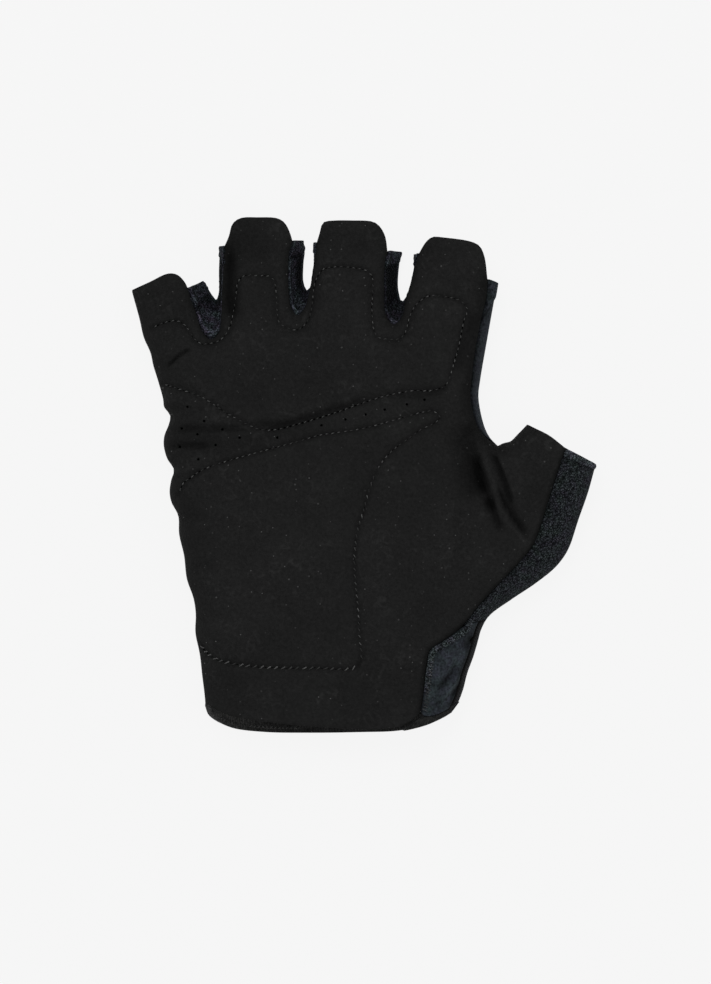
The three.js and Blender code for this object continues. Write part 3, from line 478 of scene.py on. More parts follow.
def pad_height(xy):
    """Rise of the cloth over a pad, with a stitched groove along the pad's outline."""
    rise, groove = size("pad_rise"), size("seam_groove")
    height = np.zeros(xy.shape[:-1])
    for name in PADS:
        line = LINE[name]
        left_end, right_end = line[0], line[-1]
        closed = np.vstack([line, right_end - (12, 0), left_end - (12, 0), left_end])
        deep = inside(closed, xy, 1 if name == "knuckle_pad" else -1)
        height += rise * smooth_step(deep / 4.5) ** 0.7
        height -= groove * bell(inside(line, xy, 1) / 0.9)
    return height


def waves(xy):
    """Soft unevenness of empty cloth: products of sines 25 to 60 mm long."""
    x, y = xy[..., 0], xy[..., 1]
    short = 0.16 * np.sin(x / 6.1 + 0.8 * np.sin(y / 13)) * np.sin(y / 8.3 + 1.3)
    return short + 0.12 * np.sin(x / 9.7 - y / 7.1)


def palm_form(xy):
    """The upper skin without pads and stitches: the height at the silhouette plus the height above it
    times the rounding, less a parabola along the fingers' edges, plus folds, waves and curl."""
    x, y = xy[..., 0], xy[..., 1]
    hand = size("hand_height")
    full = (
        hand
        - (hand - size("finger_height")) * smooth_step((y - 28) / 30) * smooth_step((56 - x) / 12)
        - (hand - size("thumb_height")) * smooth_step((x - 38) / 22)
        - (hand - size("cuff_height")) * smooth_step((-58 - y) / 22)
    )
    edges = sum(parabola(inside(gap["palm"], xy, -1), 8, 3) for gap in GAPS)
    around = rounding(xy, ROUND)
    soft = (waves(xy) - fold_sum(xy, FOLD_DEPTH)) * around
    return EDGE_TOP + (full - EDGE_TOP) * around - edges + soft + curl(xy)


def palm_height(xy):
    """The upper skin with the pads under it."""
    return palm_form(xy) + pad_height(xy) * smooth_step(inside(LINE["side"], xy, -1) / 3)


def palm_shade(xy):
    """How bright the suede is painted: painted shade in the folds, in the stitched grooves, towards the
    fingers' edges and along the seams of the thumb, the gusset and the index finger, a painted highlight
    on the folds' ridges, and darker over the broad areas of the folds' rows of depth 0."""
    shade = 1 - np.clip(fold_sum(xy, FOLD_DARK, 1.1), -0.3, 0.8)
    dark_lines = [(LINE[name], 0.8, 0.3) for name in PADS]
    dark_lines += [(LINE["thumb_seam"], 0.9, 0.5), (LINE["gusset_seam"], 1.1, 0.5)]
    dark_lines += [(LINE["index_seam"], 3.2, 0.4), *((gap["palm"], 1.2, 0.3) for gap in GAPS)]
    for line, over, dark in dark_lines:
        shade *= 1 - dark * bell(nearest(line, xy)[0] / over)
    return shade


def strap_lift(xy):
    """Lift of the back over the strap: a product of cubic ramps."""
    x, y = xy[..., 0], xy[..., 1]
    from_free_end = smooth_step((x - STRAP["from_x"] + STRAP["margin"]) / STRAP["fade"] + 1)
    from_upper_edge = smooth_step((STRAP["to_y"] - y + STRAP["margin"]) / STRAP["fade"] + 1)
    return (size("strap_thickness") + PAD_GAP) * from_free_end * from_upper_edge


def back_height(xy):
    """The lower skin: flat where it lies, rising to the silhouette as a quarter ellipse and along the
    fingers' edges as a parabola."""
    edges = sum(parabola(inside(gap["back"], xy, -1), 6, 3) for gap in GAPS)
    around = rounding(xy, UNDER)
    return EDGE_BOTTOM * (1 - around) + strap_lift(xy) * around + edges + curl(xy)


def lay(xy, height):
    """Points of the plan lifted to a skin."""
    return np.concatenate([xy, height(xy)[..., None]], -1)


def skin_normal(xy, height, up=1.0):
    """Unit normal of a skin, from its slopes over 0.2 mm."""
    slope = [(height(xy + step) - height(xy - step)) / 0.2 for step in ((0.1, 0), (0, 0.1))]
    normal = np.stack([-slope[0], -slope[1], np.ones_like(slope[0])], -1)
    return up * normal / np.linalg.norm(normal, axis=-1, keepdims=True)


# Grids of points


def patch(bottom, top, left, right):
    """A grid between four edges: the blend of the edges across plus the blend up, less the blend of
    the corners. Each inner point then moves halfway to the middle of its four neighbours, over and
    over, which opens folded cells."""
    left = np.vstack([bottom[:1], left[1:-1], top[:1]])
    right = np.vstack([bottom[-1:], right[1:-1], top[-1:]])
    u = np.linspace(0, 1, len(bottom))[None, :, None]
    v = np.linspace(0, 1, len(left))[:, None, None]
    grid = (
        (1 - v) * bottom[None] + v * top[None] + (1 - u) * left[:, None] + u * right[:, None]
        - (1 - u) * (1 - v) * bottom[0] - u * (1 - v) * bottom[-1]
        - (1 - u) * v * top[0] - u * v * top[-1]
    )
    for _ in range(RELAX_ROUNDS):
        around = grid[:-2, 1:-1] + grid[2:, 1:-1] + grid[1:-1, :-2] + grid[1:-1, 2:]
        grid[1:-1, 1:-1] += (around / 4 - grid[1:-1, 1:-1]) / 2
    return grid


def band(first, second, steps, bunch=0.0):
    """Rows between two lines. bunch draws the rows towards the second one."""
    share = np.linspace(0, 1, steps + 1)
    share = share + bunch * (np.sin(np.pi / 2 * share) - share)
    return first[None] + share[:, None, None] * (second - first)[None]


def matching(chain, target):
    """The same shares of another line's length as a chain's points have of its own."""
    lengths = reach(chain)
    return at_lengths(target, lengths / lengths[-1] * reach(target)[-1])


def root_chain(side, steps, from_corner, to_corner):
    """The line across the fingers' roots and round the webs."""
    chain = []
    start = from_corner
    for gap in GAPS:
        line, (web_start, web_end) = gap[side], gap[side + "_web"]
        end = along(line, web_start, web_start, 0)[0]
        chain.append(along(np.array([start, end]), 0, 1, steps["across"], FINGER_BUNCH)[:-1])
        chain.append(along(line, web_start, web_end, steps["web"])[:-1])
        start = along(line, web_end, web_end, 0)[0]
    chain.append(along(np.array([start, to_corner]), 0, 1, steps["across"], FINGER_BUNCH))
    return np.vstack(chain)


def finger_grids(side, steps, roots, left_edge, right_edge, tips):
    """A grid for each finger, from its root up between its two edges to its tip."""
    grids = []
    for k, tip in enumerate(tips):
        start = k * (steps["across"] + steps["web"])
        left, right = left_edge, right_edge
        if k > 0:
            left = along(GAPS[k - 1][side], GAPS[k - 1][side + "_web"][1], 1, steps["finger"])
        if k < 3:
            right = along(GAPS[k][side], GAPS[k][side + "_web"][0], 0, steps["finger"])
        top = along(tip, 0, 1, steps["across"], FINGER_BUNCH)
        grids.append(patch(roots[start : start + steps["across"] + 1], top, left, right))
    return grids


def rows_of(steps):
    """Rows of the hand's grid."""
    return steps["gusset"] + steps["thumb_seam"] + steps["thumb_root"] + steps["index"]


def palm_grids(steps):
    """The plan of the palm: the hand, four finger fronts and the thumb's front."""
    little, index = (-71.5, 45), (38, 50.9)
    left = between(LINE["side"], PALM_CUFF[0], little, rows_of(steps))
    seam = np.vstack([LINE["gusset_seam"], LINE["thumb_seam"][1:]])
    corner = PALM_THUMB_ROOT[0]
    root = along(LINE["palm_thumb_root"], 0, 1, steps["thumb_root"])
    index_seam = LINE["index_seam"][::-1]
    right = np.vstack([
        between(seam, GUSSET_SEAM[0], GUSSET_SEAM[3], steps["gusset"])[:-1],
        between(seam, GUSSET_SEAM[3], corner, steps["thumb_seam"])[:-1],
        root[:-1],
        between(index_seam, CROTCH, index, steps["index"]),
    ])
    top = root_chain("palm", steps, left[-1], right[-1])
    bottom = matching(top, LINE["palm_cuff"])
    bottom[0], bottom[-1] = left[0], right[0]
    fingers = finger_grids(
        "palm", steps, top,
        between(LINE["side"], little, TABS[0][0], steps["finger"]),
        between(index_seam, index, INDEX_SEAM[0], steps["finger"]),
        [smooth_line(tab) for tab in TABS],
    )
    across = 36
    lower = between(seam, corner, THUMB_SEAM[-1], across)
    upper = between(LINE["thumb_inside"], CROTCH, THUMB_TIP[-1], across)
    lower[0], upper[0] = root[0], root[-1]
    thumb = patch(lower, upper, root, along(LINE["thumb_tip"], 0, 1, steps["thumb_root"]))
    return [patch(bottom, top, left, right), *fingers, thumb]


def back_grids(steps):
    """The plan of the back, and the silhouette and the palm's seam that its wrap runs between."""
    little, index = (-71.5, 45), (41.2, 50)
    left = between(LINE["side"], BACK_CUT[0], little, rows_of(steps))
    outer = between(LINE["outside"], BACK_CUT[-1], BACK_THUMB_ROOT[0], steps["gusset"] + steps["thumb_seam"])
    root = along(LINE["back_thumb_root"], 0, 1, steps["thumb_root"])
    index_edge = LINE["index"][::-1]
    upper = between(index_edge, CROTCH, index, steps["index"])
    upper[0] = root[-1]
    right = np.vstack([outer[:-1], root[:-1], upper])
    top = root_chain("back", steps, left[-1], right[-1])
    bottom = matching(top, LINE["back_cut"])
    bottom[0], bottom[-1] = left[0], right[0]
    little_edge = between(LINE["side"], little, BACK_TIPS[0][0], steps["finger"])
    index_top = between(index_edge, index, BACK_TIPS[3][1], steps["finger"])
    tips = [np.array(ends, float) for ends in BACK_TIPS]
    tips[0][0] = little_edge[-1]
    tips[3][1] = index_top[-1]
    fingers = finger_grids("back", steps, top, little_edge, index_top, tips)
    edge = np.vstack([upper[:-1], index_top])
    seam = along(beside(LINE["index_seam"], SEAM_GAP)[::-1], 0.04, 1, len(edge) - 1)
    return [patch(bottom, top, left, right), *fingers], edge, seam


def strip_map(grid, shade=1.0):
    """Map of a strip in millimetres, the length along its middle row and the length across, and the
    factor on its colour, mostly painted light and shade."""
    middle = reach(grid[len(grid) // 2])
    across = np.concatenate([[0], np.cumsum(np.linalg.norm(np.diff(grid, axis=0), axis=2).mean(1))])
    return np.stack([*np.meshgrid(middle, across), shade * np.ones(grid.shape[:2])], -1)


def plan_map(plan, shade=1.0):
    """Map of a flat grid: its own plan in millimetres, and a factor on its colour for painted shade."""
    return np.concatenate([plan, (shade * np.ones(plan.shape[:-1]))[..., None]], -1)


# Meshes


def new_piece(name, points, faces, maps, slot, material, smooth=True):
    """A mesh object from arrays of points in millimetres, faces and a map, riding on the glove. The map's
    third column, if it has one, is a factor on the cloth's colour: mostly painted light and shade, and
    for the stitches each stitch's own tone."""
    mesh = bpy.data.meshes.new(name)
    loops = np.concatenate([f.ravel() for f in faces]).astype(np.int32)
    totals = np.concatenate([np.full(len(f), f.shape[1]) for f in faces])
    mesh.vertices.add(len(points))
    mesh.vertices.foreach_set("co", (points * MM).astype(np.float32).ravel())
    mesh.loops.add(len(loops))
    mesh.loops.foreach_set("vertex_index", loops)
    mesh.polygons.add(len(totals))
    mesh.polygons.foreach_set("loop_start", np.concatenate([[0], np.cumsum(totals)[:-1]]).astype(np.int32))
    mesh.polygons.foreach_set("use_smooth", np.full(len(totals), smooth))
    layer = mesh.uv_layers.new(name="Cloth")
    layer.data.foreach_set("uv", maps[loops, :2].astype(np.float32).ravel())
    if maps.shape[1] == 2:
        maps = np.concatenate([maps, np.ones((len(maps), 1))], 1)
    shade = mesh.attributes.new("Shade", "FLOAT", "POINT")
    shade.data.foreach_set("value", maps[:, 2].astype(np.float32))
    mesh.update(calc_edges=True)
    mesh.validate()
    piece = bpy.data.objects.new(name, mesh)
    bpy.context.scene.collection.objects.link(piece)
    mesh.materials.append(material)
    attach(piece, "root")
    return piece


def closed_sheet(grids, thickness, inset=0.0, edge=EDGE, rings=4, soft=8):
    """Points, faces and map of a sheet of cloth. grids are (points, map, faces out). Grids that share an
    edge are joined there. The inner side is the outer one moved back by the thickness along the
    normals, which are first averaged with their neighbours `soft` times so that the inner side of a
    fold doesn't cross itself. The rim between the sides is half an ellipse that stands out by `edge`."""
    points = np.concatenate([grid.reshape(-1, 3) for grid, _, _ in grids])
    maps = np.concatenate([place.reshape(-1, 3) for _, place, _ in grids])
    quads, start = [], 0
    for grid, _, out in grids:
        index = np.arange(grid.shape[0] * grid.shape[1]).reshape(grid.shape[:2]) + start
        corners = [index[:-1, :-1], index[:-1, 1:], index[1:, 1:], index[1:, :-1]]
        quads.append(np.stack(corners if out else corners[::-1], -1).reshape(-1, 4))
        start += index.size
    _, first, same = np.unique(np.round(points / 0.005), axis=0, return_index=True, return_inverse=True)
    points, maps, quads = points[first], maps[first], same.reshape(-1)[np.concatenate(quads)]
    count = len(points)
    p0, p1, p2, p3 = (points[quads[:, k]] for k in range(4))
    face_normal = np.cross(p2 - p0, p3 - p1)
    normal = gather(quads.ravel(), np.repeat(face_normal, 4, axis=0), count)
    edges = np.concatenate([quads[:, [k, (k + 1) % 4]] for k in range(4)])
    pairs = np.concatenate([edges, edges[:, ::-1]])
    for _ in range(soft):
        normal = gather(pairs[:, 0], normal[pairs[:, 1]], count)
    rim = open_edges(edges, count)
    outward = np.cross(points[rim[:, 1]] - points[rim[:, 0]], normal[rim[:, 0]] + normal[rim[:, 1]])
    outward = gather(rim.ravel(), np.repeat(outward, 2, axis=0), count)
    rim_points = np.unique(rim)
    number = np.full(count, -1)
    number[rim_points] = np.arange(len(rim_points))
    outer, inner = points - inset * normal, points - (inset + thickness) * normal
    middle, half = (outer + inner)[rim_points] / 2, (outer - inner)[rim_points] / 2
    turns = np.pi * np.arange(1, rings) / rings
    ridge = [middle + np.cos(t) * half + edge * np.sin(t) * outward[rim_points] for t in turns]
    levels = [rim] + [2 * count + k * len(rim_points) + number[rim] for k in range(rings - 1)] + [rim + count]
    sides = [
        np.stack([upper[:, 1], upper[:, 0], lower[:, 0], lower[:, 1]], 1)
        for upper, lower in zip(levels, levels[1:])
    ]
    every = np.concatenate([outer, inner, *ridge])
    every_map = np.concatenate([maps, maps, *[maps[rim_points]] * (rings - 1)])
    return every, [np.concatenate([quads, quads[:, ::-1] + count, *sides])], every_map


def open_edges(edges, count):
    """The edges that only one face has: no other face runs along them the other way."""
    return edges[~np.isin(edges[:, 0] * count + edges[:, 1], edges[:, 1] * count + edges[:, 0])]


def gather(index, values, count):
    """Unit vectors: the sum of the vectors that belong to each number of index."""
    total = np.stack([np.bincount(index, values[:, k], count) for k in range(3)], 1)
    return total / np.maximum(np.linalg.norm(total, axis=1, keepdims=True), 1e-9)


def frames(line, normal, wanted):
    """Places along a line and their directions: along it, to its left and up."""
    lengths = reach(line)
    up = np.stack([np.interp(wanted, lengths, normal[:, k]) for k in range(3)], 1)
    up /= np.linalg.norm(up, axis=1)[:, None]
    ahead = at_lengths(line, wanted + 0.2) - at_lengths(line, wanted - 0.2)
    ahead -= (ahead * up).sum(1)[:, None] * up
    ahead /= np.linalg.norm(ahead, axis=1)[:, None]
    return at_lengths(line, wanted), ahead, np.cross(up, ahead), up


def threads(line, normal, pitch, length, width, slant, taper, seed):
    """A row of stitches. Each is a tube of seven rings along a shallow arch, its radius
    width / 2 * (1 - s^6)^0.5 * (1 - taper * (s + 1) / 2) for s from -1 to 1, turned by slant degrees
    across the row. Their places, turns and lengths differ a little."""
    random = np.random.default_rng(seed)
    total = reach(line)[-1]
    count = max(int(total / pitch), 1)
    wanted = (np.arange(count) + 0.5) * total / count + random.uniform(-0.08, 0.08, count) * pitch
    centre, ahead, side, up = frames(line, normal, wanted)
    turn = np.radians(slant + random.uniform(-9, 9, count))[:, None]
    ahead, side = np.cos(turn) * ahead + np.sin(turn) * side, np.cos(turn) * side - np.sin(turn) * ahead
    half = (length / 2 * random.uniform(0.82, 1.1, count))[:, None, None, None]
    s = np.array([-0.99, -0.85, -0.5, 0, 0.5, 0.85, 0.99])
    angle = np.arange(6) * np.pi / 3
    radius = width / 2 * np.sqrt(1 - s**6) * (1 - taper * (s + 1) / 2)
    arch = width * (0.5 - 1.2 * s**4)
    points = (
        centre[:, None, None]
        + half * s[None, :, None, None] * ahead[:, None, None]
        + (arch[:, None] + radius[:, None] * np.sin(angle))[None, ..., None] * up[:, None, None]
        + (radius[:, None] * np.cos(angle))[None, ..., None] * side[:, None, None]
    )
    return tubes(points, s, 0.25 + 1.3 * random.random(count) ** 1.3)


def tubes(points, s, shade):
    """Points, faces and maps of closed tubes, from arrays of rings."""
    count, rings, around = points.shape[:3]
    index = np.arange(count * rings * around).reshape(count, rings, around)
    turned = np.roll(index, -1, axis=2)
    tube = np.stack([index[:, :-1], turned[:, :-1], turned[:, 1:], index[:, 1:]], -1).reshape(-1, 4)
    caps = np.concatenate([index[:, 0, ::-1], index[:, -1]])
    maps = np.broadcast_arrays(s[None, :, None], np.arange(around)[None, None, :], shade[:, None, None])
    return points.reshape(-1, 3), [tube, caps], np.stack(maps, -1).reshape(-1, 3)


def needle_hole_shades(line, normal, pitch, length, width):
    """Flat dark lenses between the stitches, painted shade of the needle holes there: an ellipse of eight
    corners with a point a little above and one below its middle."""
    total = reach(line)[-1]
    count = max(int(total / pitch), 1)
    wanted = np.arange(1, count) * total / count
    centre, ahead, side, up = frames(line, normal, wanted)
    angle = np.arange(8) * np.pi / 4
    ring = (
        centre[:, None]
        + (length / 2 * np.cos(angle))[None, :, None] * ahead[:, None]
        + (width / 2 * np.sin(angle))[None, :, None] * side[:, None]
        + 0.02 * up[:, None]
    )
    points = np.concatenate([ring, (centre + 0.07 * up)[:, None], (centre - 0.2 * up)[:, None]], 1)
    first = np.arange(len(centre))[:, None] * 10
    corner, after = first + np.arange(8), first + (np.arange(8) + 1) % 8
    top = np.stack([corner, after, np.broadcast_to(first + 8, corner.shape)], -1)
    foot = np.stack([after, corner, np.broadcast_to(first + 9, corner.shape)], -1)
    faces = np.concatenate([top.reshape(-1, 3), foot.reshape(-1, 3)])
    return points.reshape(-1, 3), [faces], np.ones((points.size // 3, 3))


def joined(parts):
    """Several sets of points, faces and maps as one."""
    points, faces, maps, start = [], {}, [], 0
    for part_points, part_faces, part_maps in parts:
        points.append(part_points)
        maps.append(part_maps)
        for face in part_faces:
            faces.setdefault(face.shape[1], []).append(face + start)
        start += len(part_points)
    return np.concatenate(points), [np.concatenate(f) for f in faces.values()], np.concatenate(maps)


# Materials


class Finish:
    """A material under construction: each call adds a node and links what it is given."""

    def __init__(self, name, roughness, specular=0.15, sheen=0.0, sheen_tint=(1, 1, 1), sheen_roughness=0.5):
        self.material = bpy.data.materials.new(name)
        self.material.use_nodes = True
        self.tree = self.material.node_tree
        self.shader = self.tree.nodes["Principled BSDF"]
        self.shader.inputs["Roughness"].default_value = roughness
        self.shader.inputs["Specular IOR Level"].default_value = specular
        self.shader.inputs["Sheen Weight"].default_value = sheen
        self.shader.inputs["Sheen Roughness"].default_value = sheen_roughness
        self.shader.inputs["Sheen Tint"].default_value = (*sheen_tint, 1)

    def node(self, kind, inputs=(), **settings):
        made = self.tree.nodes.new("ShaderNode" + kind)
        for key, value in settings.items():
            setattr(made, key, value)
        for key, value in dict(inputs).items():
            self.feed(made.inputs[key], value)
        return made

    def feed(self, socket, value):
        if isinstance(value, bpy.types.NodeSocket):
            self.tree.links.new(value, socket)
        else:
            socket.default_value = value

    def math(self, operation, *values):
        return self.node("Math", dict(enumerate(values)), operation=operation).outputs[0]

    def product(self, total, *values):
        for value in values:
            total = self.math("MULTIPLY", total, value)
        return total

    def scale(self, value, from_low, from_high, low, high):
        inputs = {"Value": value, "From Min": from_low, "From Max": from_high, "To Min": low, "To Max": high}
        return self.node("MapRange", inputs).outputs[0]

    def object_mm(self):
        place = self.node("TexCoord").outputs["Object"]
        return self.node("VectorMath", {0: place, "Scale": 1 / MM}, operation="SCALE").outputs[0]

    def cloth_mm(self):
        return self.node("UVMap", uv_map="Cloth").outputs[0]

    def noise(self, place, per_mm, detail=3.0, roughness=0.5):
        inputs = {"Vector": place, "Scale": per_mm, "Detail": detail, "Roughness": roughness}
        return self.node("TexNoise", inputs).outputs[0]

    def specks(self, place, per_mm, radius, share):
        """Round specks of a radius in millimetres, in a share of the cells of a flat cell pattern."""
        inputs = {"Vector": place, "Scale": per_mm, "Randomness": 1.0}
        cells = self.node("TexVoronoi", inputs, voronoi_dimensions="2D")
        near = self.scale(cells.outputs["Distance"], radius * per_mm * 0.4, radius * per_mm, 1, 0)
        chosen = self.node("SeparateColor", {0: cells.outputs["Color"]}).outputs[0]
        return self.math("MULTIPLY", near, self.math("LESS_THAN", chosen, share))

    def colour(self, base, value, speck=None, speck_colour=None, hue=0.0):
        """The base colour with its value multiplied by `value` and by the piece's Shade attribute, which
        holds its painted light and shade, its hue a little uneven, and specks of another colour on it,
        dimmed where it is painted darker."""
        own = self.node("Attribute", attribute_name="Shade").outputs["Fac"]
        inputs = {"Color": (*base, 1), "Value": self.math("MULTIPLY", value, own)}
        if hue:
            patches = self.noise(self.object_mm(), 0.3, 3)
            inputs["Hue"] = self.scale(patches, 0.3, 0.7, 0.5 - hue, 0.5 + hue)
        shade = self.node("HueSaturation", inputs).outputs[0]
        if speck is not None:
            inputs = {0: self.math("MULTIPLY", speck, own), 6: shade, 7: (*speck_colour, 1)}
            shade = self.node("Mix", inputs, data_type="RGBA").outputs[2]
        self.feed(self.shader.inputs["Base Color"], shade)

    def bump(self, height, depth):
        inputs = {"Height": height, "Distance": depth * MM, "Strength": 1.0}
        self.feed(self.shader.inputs["Normal"], self.node("Bump", inputs).outputs[0])


def suede_finish(name, base, lint):
    """Matt suede: patches of nap, a fine grain, wisps of longer fibres and sparse specks of lint."""
    finish = Finish(name, 0.95, 0.03)
    place = finish.object_mm()
    nap = finish.noise(place, 0.07, 3)
    grain = finish.noise(place, 1.0, 4, 0.65)
    fibre = finish.noise(place, 3.6, 2)
    clusters = finish.scale(finish.noise(place, 0.06, 2), 0.45, 0.62, 0.25, 1)
    bent = finish.node("TexNoise", {"Vector": place, "Scale": 0.33, "Detail": 4.0, "Distortion": 1.4})
    wisps = finish.math("MULTIPLY", finish.scale(bent.outputs[0], 0.52, 0.68, 0, 0.45), clusters)
    value = finish.product(
        finish.scale(nap, 0.3, 0.7, 0.9, 1.1),
        finish.scale(grain, 0.3, 0.7, 0.78, 1.22),
        finish.scale(fibre, 0.3, 0.7, 0.88, 1.12),
        finish.math("ADD", wisps, 1.0),
    )
    small = finish.specks(place, 0.27, 0.22, 0.25)
    large = finish.math("MULTIPLY", finish.specks(place, 0.12, 0.36, 0.35), 0.5)
    lint_seen = finish.math("MULTIPLY", finish.math("MAXIMUM", small, large), clusters)
    finish.colour(base, value, lint_seen, lint)
    finish.bump(finish.math("ADD", grain, finish.math("MULTIPLY", fibre, 0.5)), 0.2)
    return finish.material


def knit_finish(name, base, wale, course, depth=0.2, loops=1.0, fuzz_share=0.65):
    """Jersey knit on the cloth's own map: columns of V-shaped loops. The loop's height is the sine of
    the way up plus the distance from the column's middle, and the colour is painted darker where the
    loops are low and lighter where they are high: painted shade of their relief. Above 6 mm, where the
    cloth is stretched round the hand, the loops are pulled smooth."""
    finish = Finish(name, 0.9, 0.05, 0.05, (0.7, 0.8, 1), 0.5)
    place = finish.cloth_mm()
    split = finish.node("SeparateXYZ", {0: place})
    column = finish.math("FRACT", finish.math("DIVIDE", split.outputs[0], wale))
    middle = finish.math("ABSOLUTE", finish.math("SUBTRACT", column, 0.5))
    up = finish.math("ADD", finish.math("DIVIDE", split.outputs[1], course), middle)
    loop = finish.math("SINE", finish.math("MULTIPLY", up, 2 * math.pi))
    loop = finish.scale(loop, -1, 1, 0, 1)
    rounding_over = finish.math("SINE", finish.math("MULTIPLY", column, math.pi))
    level = finish.node("SeparateXYZ", {0: finish.object_mm()}).outputs[2]
    slack = finish.scale(level, 6, 9, 1, 0.15)
    height = finish.math("MULTIPLY", finish.math("MULTIPLY", loop, rounding_over), slack)
    patches = finish.noise(finish.object_mm(), 0.2, 3)
    fuzz = finish.noise(finish.object_mm(), 1.3, 4, 0.6)
    value = finish.product(
        finish.scale(height, 0, 1, 1 - 0.55 * loops, 1 + 0.7 * loops),
        finish.scale(patches, 0.3, 0.7, 0.8, 1.2),
        finish.scale(fuzz, 0.36, 0.64, 1 - fuzz_share, 1 + fuzz_share),
    )
    finish.colour(base, value, hue=0.07)
    finish.bump(finish.math("ADD", height, finish.math("MULTIPLY", fuzz, 0.4)), depth)
    return finish.material


def terry_finish(name, base, pale, per_mm=1.6, depth=0.4, bright_share=0.5, uneven=0.2):
    """Terry knit: rows of small tangled loops, each painted paler on top and darker round its foot,
    painted shade of their relief, with pale specks on the tops.
    """
    finish = Finish(name, 0.95, 0.04, 0.02, (0.8, 0.9, 1), 0.5)
    place = finish.object_mm()
    rows = finish.node("VectorRotate", {"Vector": place, "Angle": 0.6}, rotation_type="Z_AXIS").outputs[0]
    tangle = finish.noise(place, 0.9, 2, 0.6)
    bent = finish.node("VectorMath", {0: rows, 1: tangle}, operation="ADD").outputs[0]
    inputs = {"Vector": bent, "Scale": per_mm, "Smoothness": 0.3, "Randomness": 0.7}
    loops = finish.node("TexVoronoi", inputs, feature="SMOOTH_F1").outputs["Distance"]
    top = finish.scale(loops, 0.15, 0.65, 1, 0)
    fuzz = finish.noise(place, 1.9, 3, 0.7)
    patches = finish.noise(place, 0.25, 3)
    value = finish.product(
        finish.scale(top, 0, 1, 0.15, 1.65),
        finish.scale(fuzz, 0.35, 0.65, 0.2, 1.8),
        finish.scale(patches, 0.3, 0.7, 1 - uneven, 1 + uneven),
    )
    lit = finish.scale(fuzz, 0.5, 0.7, 0, bright_share)
    finish.colour(base, value, finish.math("MULTIPLY", finish.scale(top, 0.5, 1, 0, 1), lit), pale, 0.12)
    finish.bump(finish.math("ADD", top, finish.math("MULTIPLY", fuzz, 0.5)), depth)
    return finish.material


def ribbed_finish(name, base, rib, roughness, slope=0.0, depth=0.1, specular=0.1, uneven=0.25, ribbed=0.2):
    """Fine ribs along the cloth's own map, leaning by slope, with fuzz and uneven patches. The ribs are
    painted lighter on top and darker between: painted shade of their relief.
    """
    finish = Finish(name, roughness, specular, 0.04, (0.8, 0.9, 1), 0.4)
    split = finish.node("SeparateXYZ", {0: finish.cloth_mm()})
    lean = finish.math("ADD", split.outputs[0], finish.math("MULTIPLY", split.outputs[1], slope))
    ribs = finish.math("SINE", finish.math("MULTIPLY", lean, 2 * math.pi / rib))
    ribs = finish.scale(ribs, -1, 1, 0, 1)
    fuzz = finish.noise(finish.object_mm(), 1.3, 4, 0.6)
    patches = finish.noise(finish.object_mm(), 0.22, 3)
    value = finish.product(
        finish.scale(ribs, 0, 1, 1 - ribbed, 1 + ribbed),
        finish.scale(fuzz, 0.3, 0.7, 1 - 2 * uneven, 1 + 2 * uneven),
        finish.scale(patches, 0.3, 0.7, 1 - uneven, 1 + uneven),
    )
    finish.colour(base, value, hue=0.06)
    finish.bump(finish.math("ADD", finish.math("MULTIPLY", ribs, ribbed * 5), fuzz), depth)
    return finish.material


def thread_finish(name, base):
    """Twisted thread: slanting strands along the map. Each stitch has its own shade."""
    finish = Finish(name, 0.6, 0.25)
    split = finish.node("SeparateXYZ", {0: finish.cloth_mm()})
    strand = finish.math("ADD", finish.math("MULTIPLY", split.outputs[0], 9), split.outputs[1])
    strands = finish.scale(finish.math("SINE", strand), -1, 1, 0.75, 1.25)
    finish.colour(base, strands)
    return finish.material


def plain_finish(name, base):
    """An even, matt colour."""
    finish = Finish(name, 1, 0)
    finish.shader.inputs["Base Color"].default_value = (*base, 1)
    return finish.material


# Settings


def length_setting(name, description, millimetres):
    """A length of the glove, shown in the scene's unit."""
    return bpy.props.FloatProperty(
        name=name, description=description, default=millimetres * MM, min=0, unit="LENGTH", precision=4
    )


def colour_setting(name, description, red, green, blue):
    """A colour of one of the glove's materials."""
    return bpy.props.FloatVectorProperty(
        name=name, description=description, default=(red, green, blue), min=0, max=1, subtype="COLOR"
    )


class GloveSizes(bpy.types.PropertyGroup):
    """Sizes of the glove."""

    hand_height: length_setting("Hand height", "Height of the empty hand part as it lies", 20)
    finger_height: length_setting("Finger height", "Height of the fingers as they lie", 15.5)
    cuff_height: length_setting("Cuff height", "Height of the wrist's mouth", 17.5)
    thumb_height: length_setting("Thumb height", "Height of the thumb as it lies", 17.5)
    suede_thickness: length_setting("Suede thickness", "Thickness of the palm's suede", 1.5)
    knit_thickness: length_setting("Knit thickness", "Thickness of the knit panels", 1.3)
    terry_thickness: length_setting("Terry thickness", "Thickness of the thumb's terry knit", 1.6)
    binding_thickness: length_setting("Binding thickness", "Thickness of the folded bindings", 1.9)
    strap_thickness: length_setting("Strap thickness", "Thickness of the wrist strap", 1.6)
    foam_thickness: length_setting("Foam thickness", "Thickness of the pads under the palm", 2.2)
    pad_rise: length_setting("Pad rise", "How far the palm stands up over a pad", 0.7)
    seam_groove: length_setting("Seam groove", "Depth of the groove that a row of stitches pulls in", 0.55)
    hole_width: length_setting("Hole width", "Width of the breathing holes", 0.8)
    stitch_pitch: length_setting("Stitch pitch", "Distance from one stitch to the next", 2.0)
    thread_width: length_setting("Thread width", "Width of the sewing thread", 0.42)


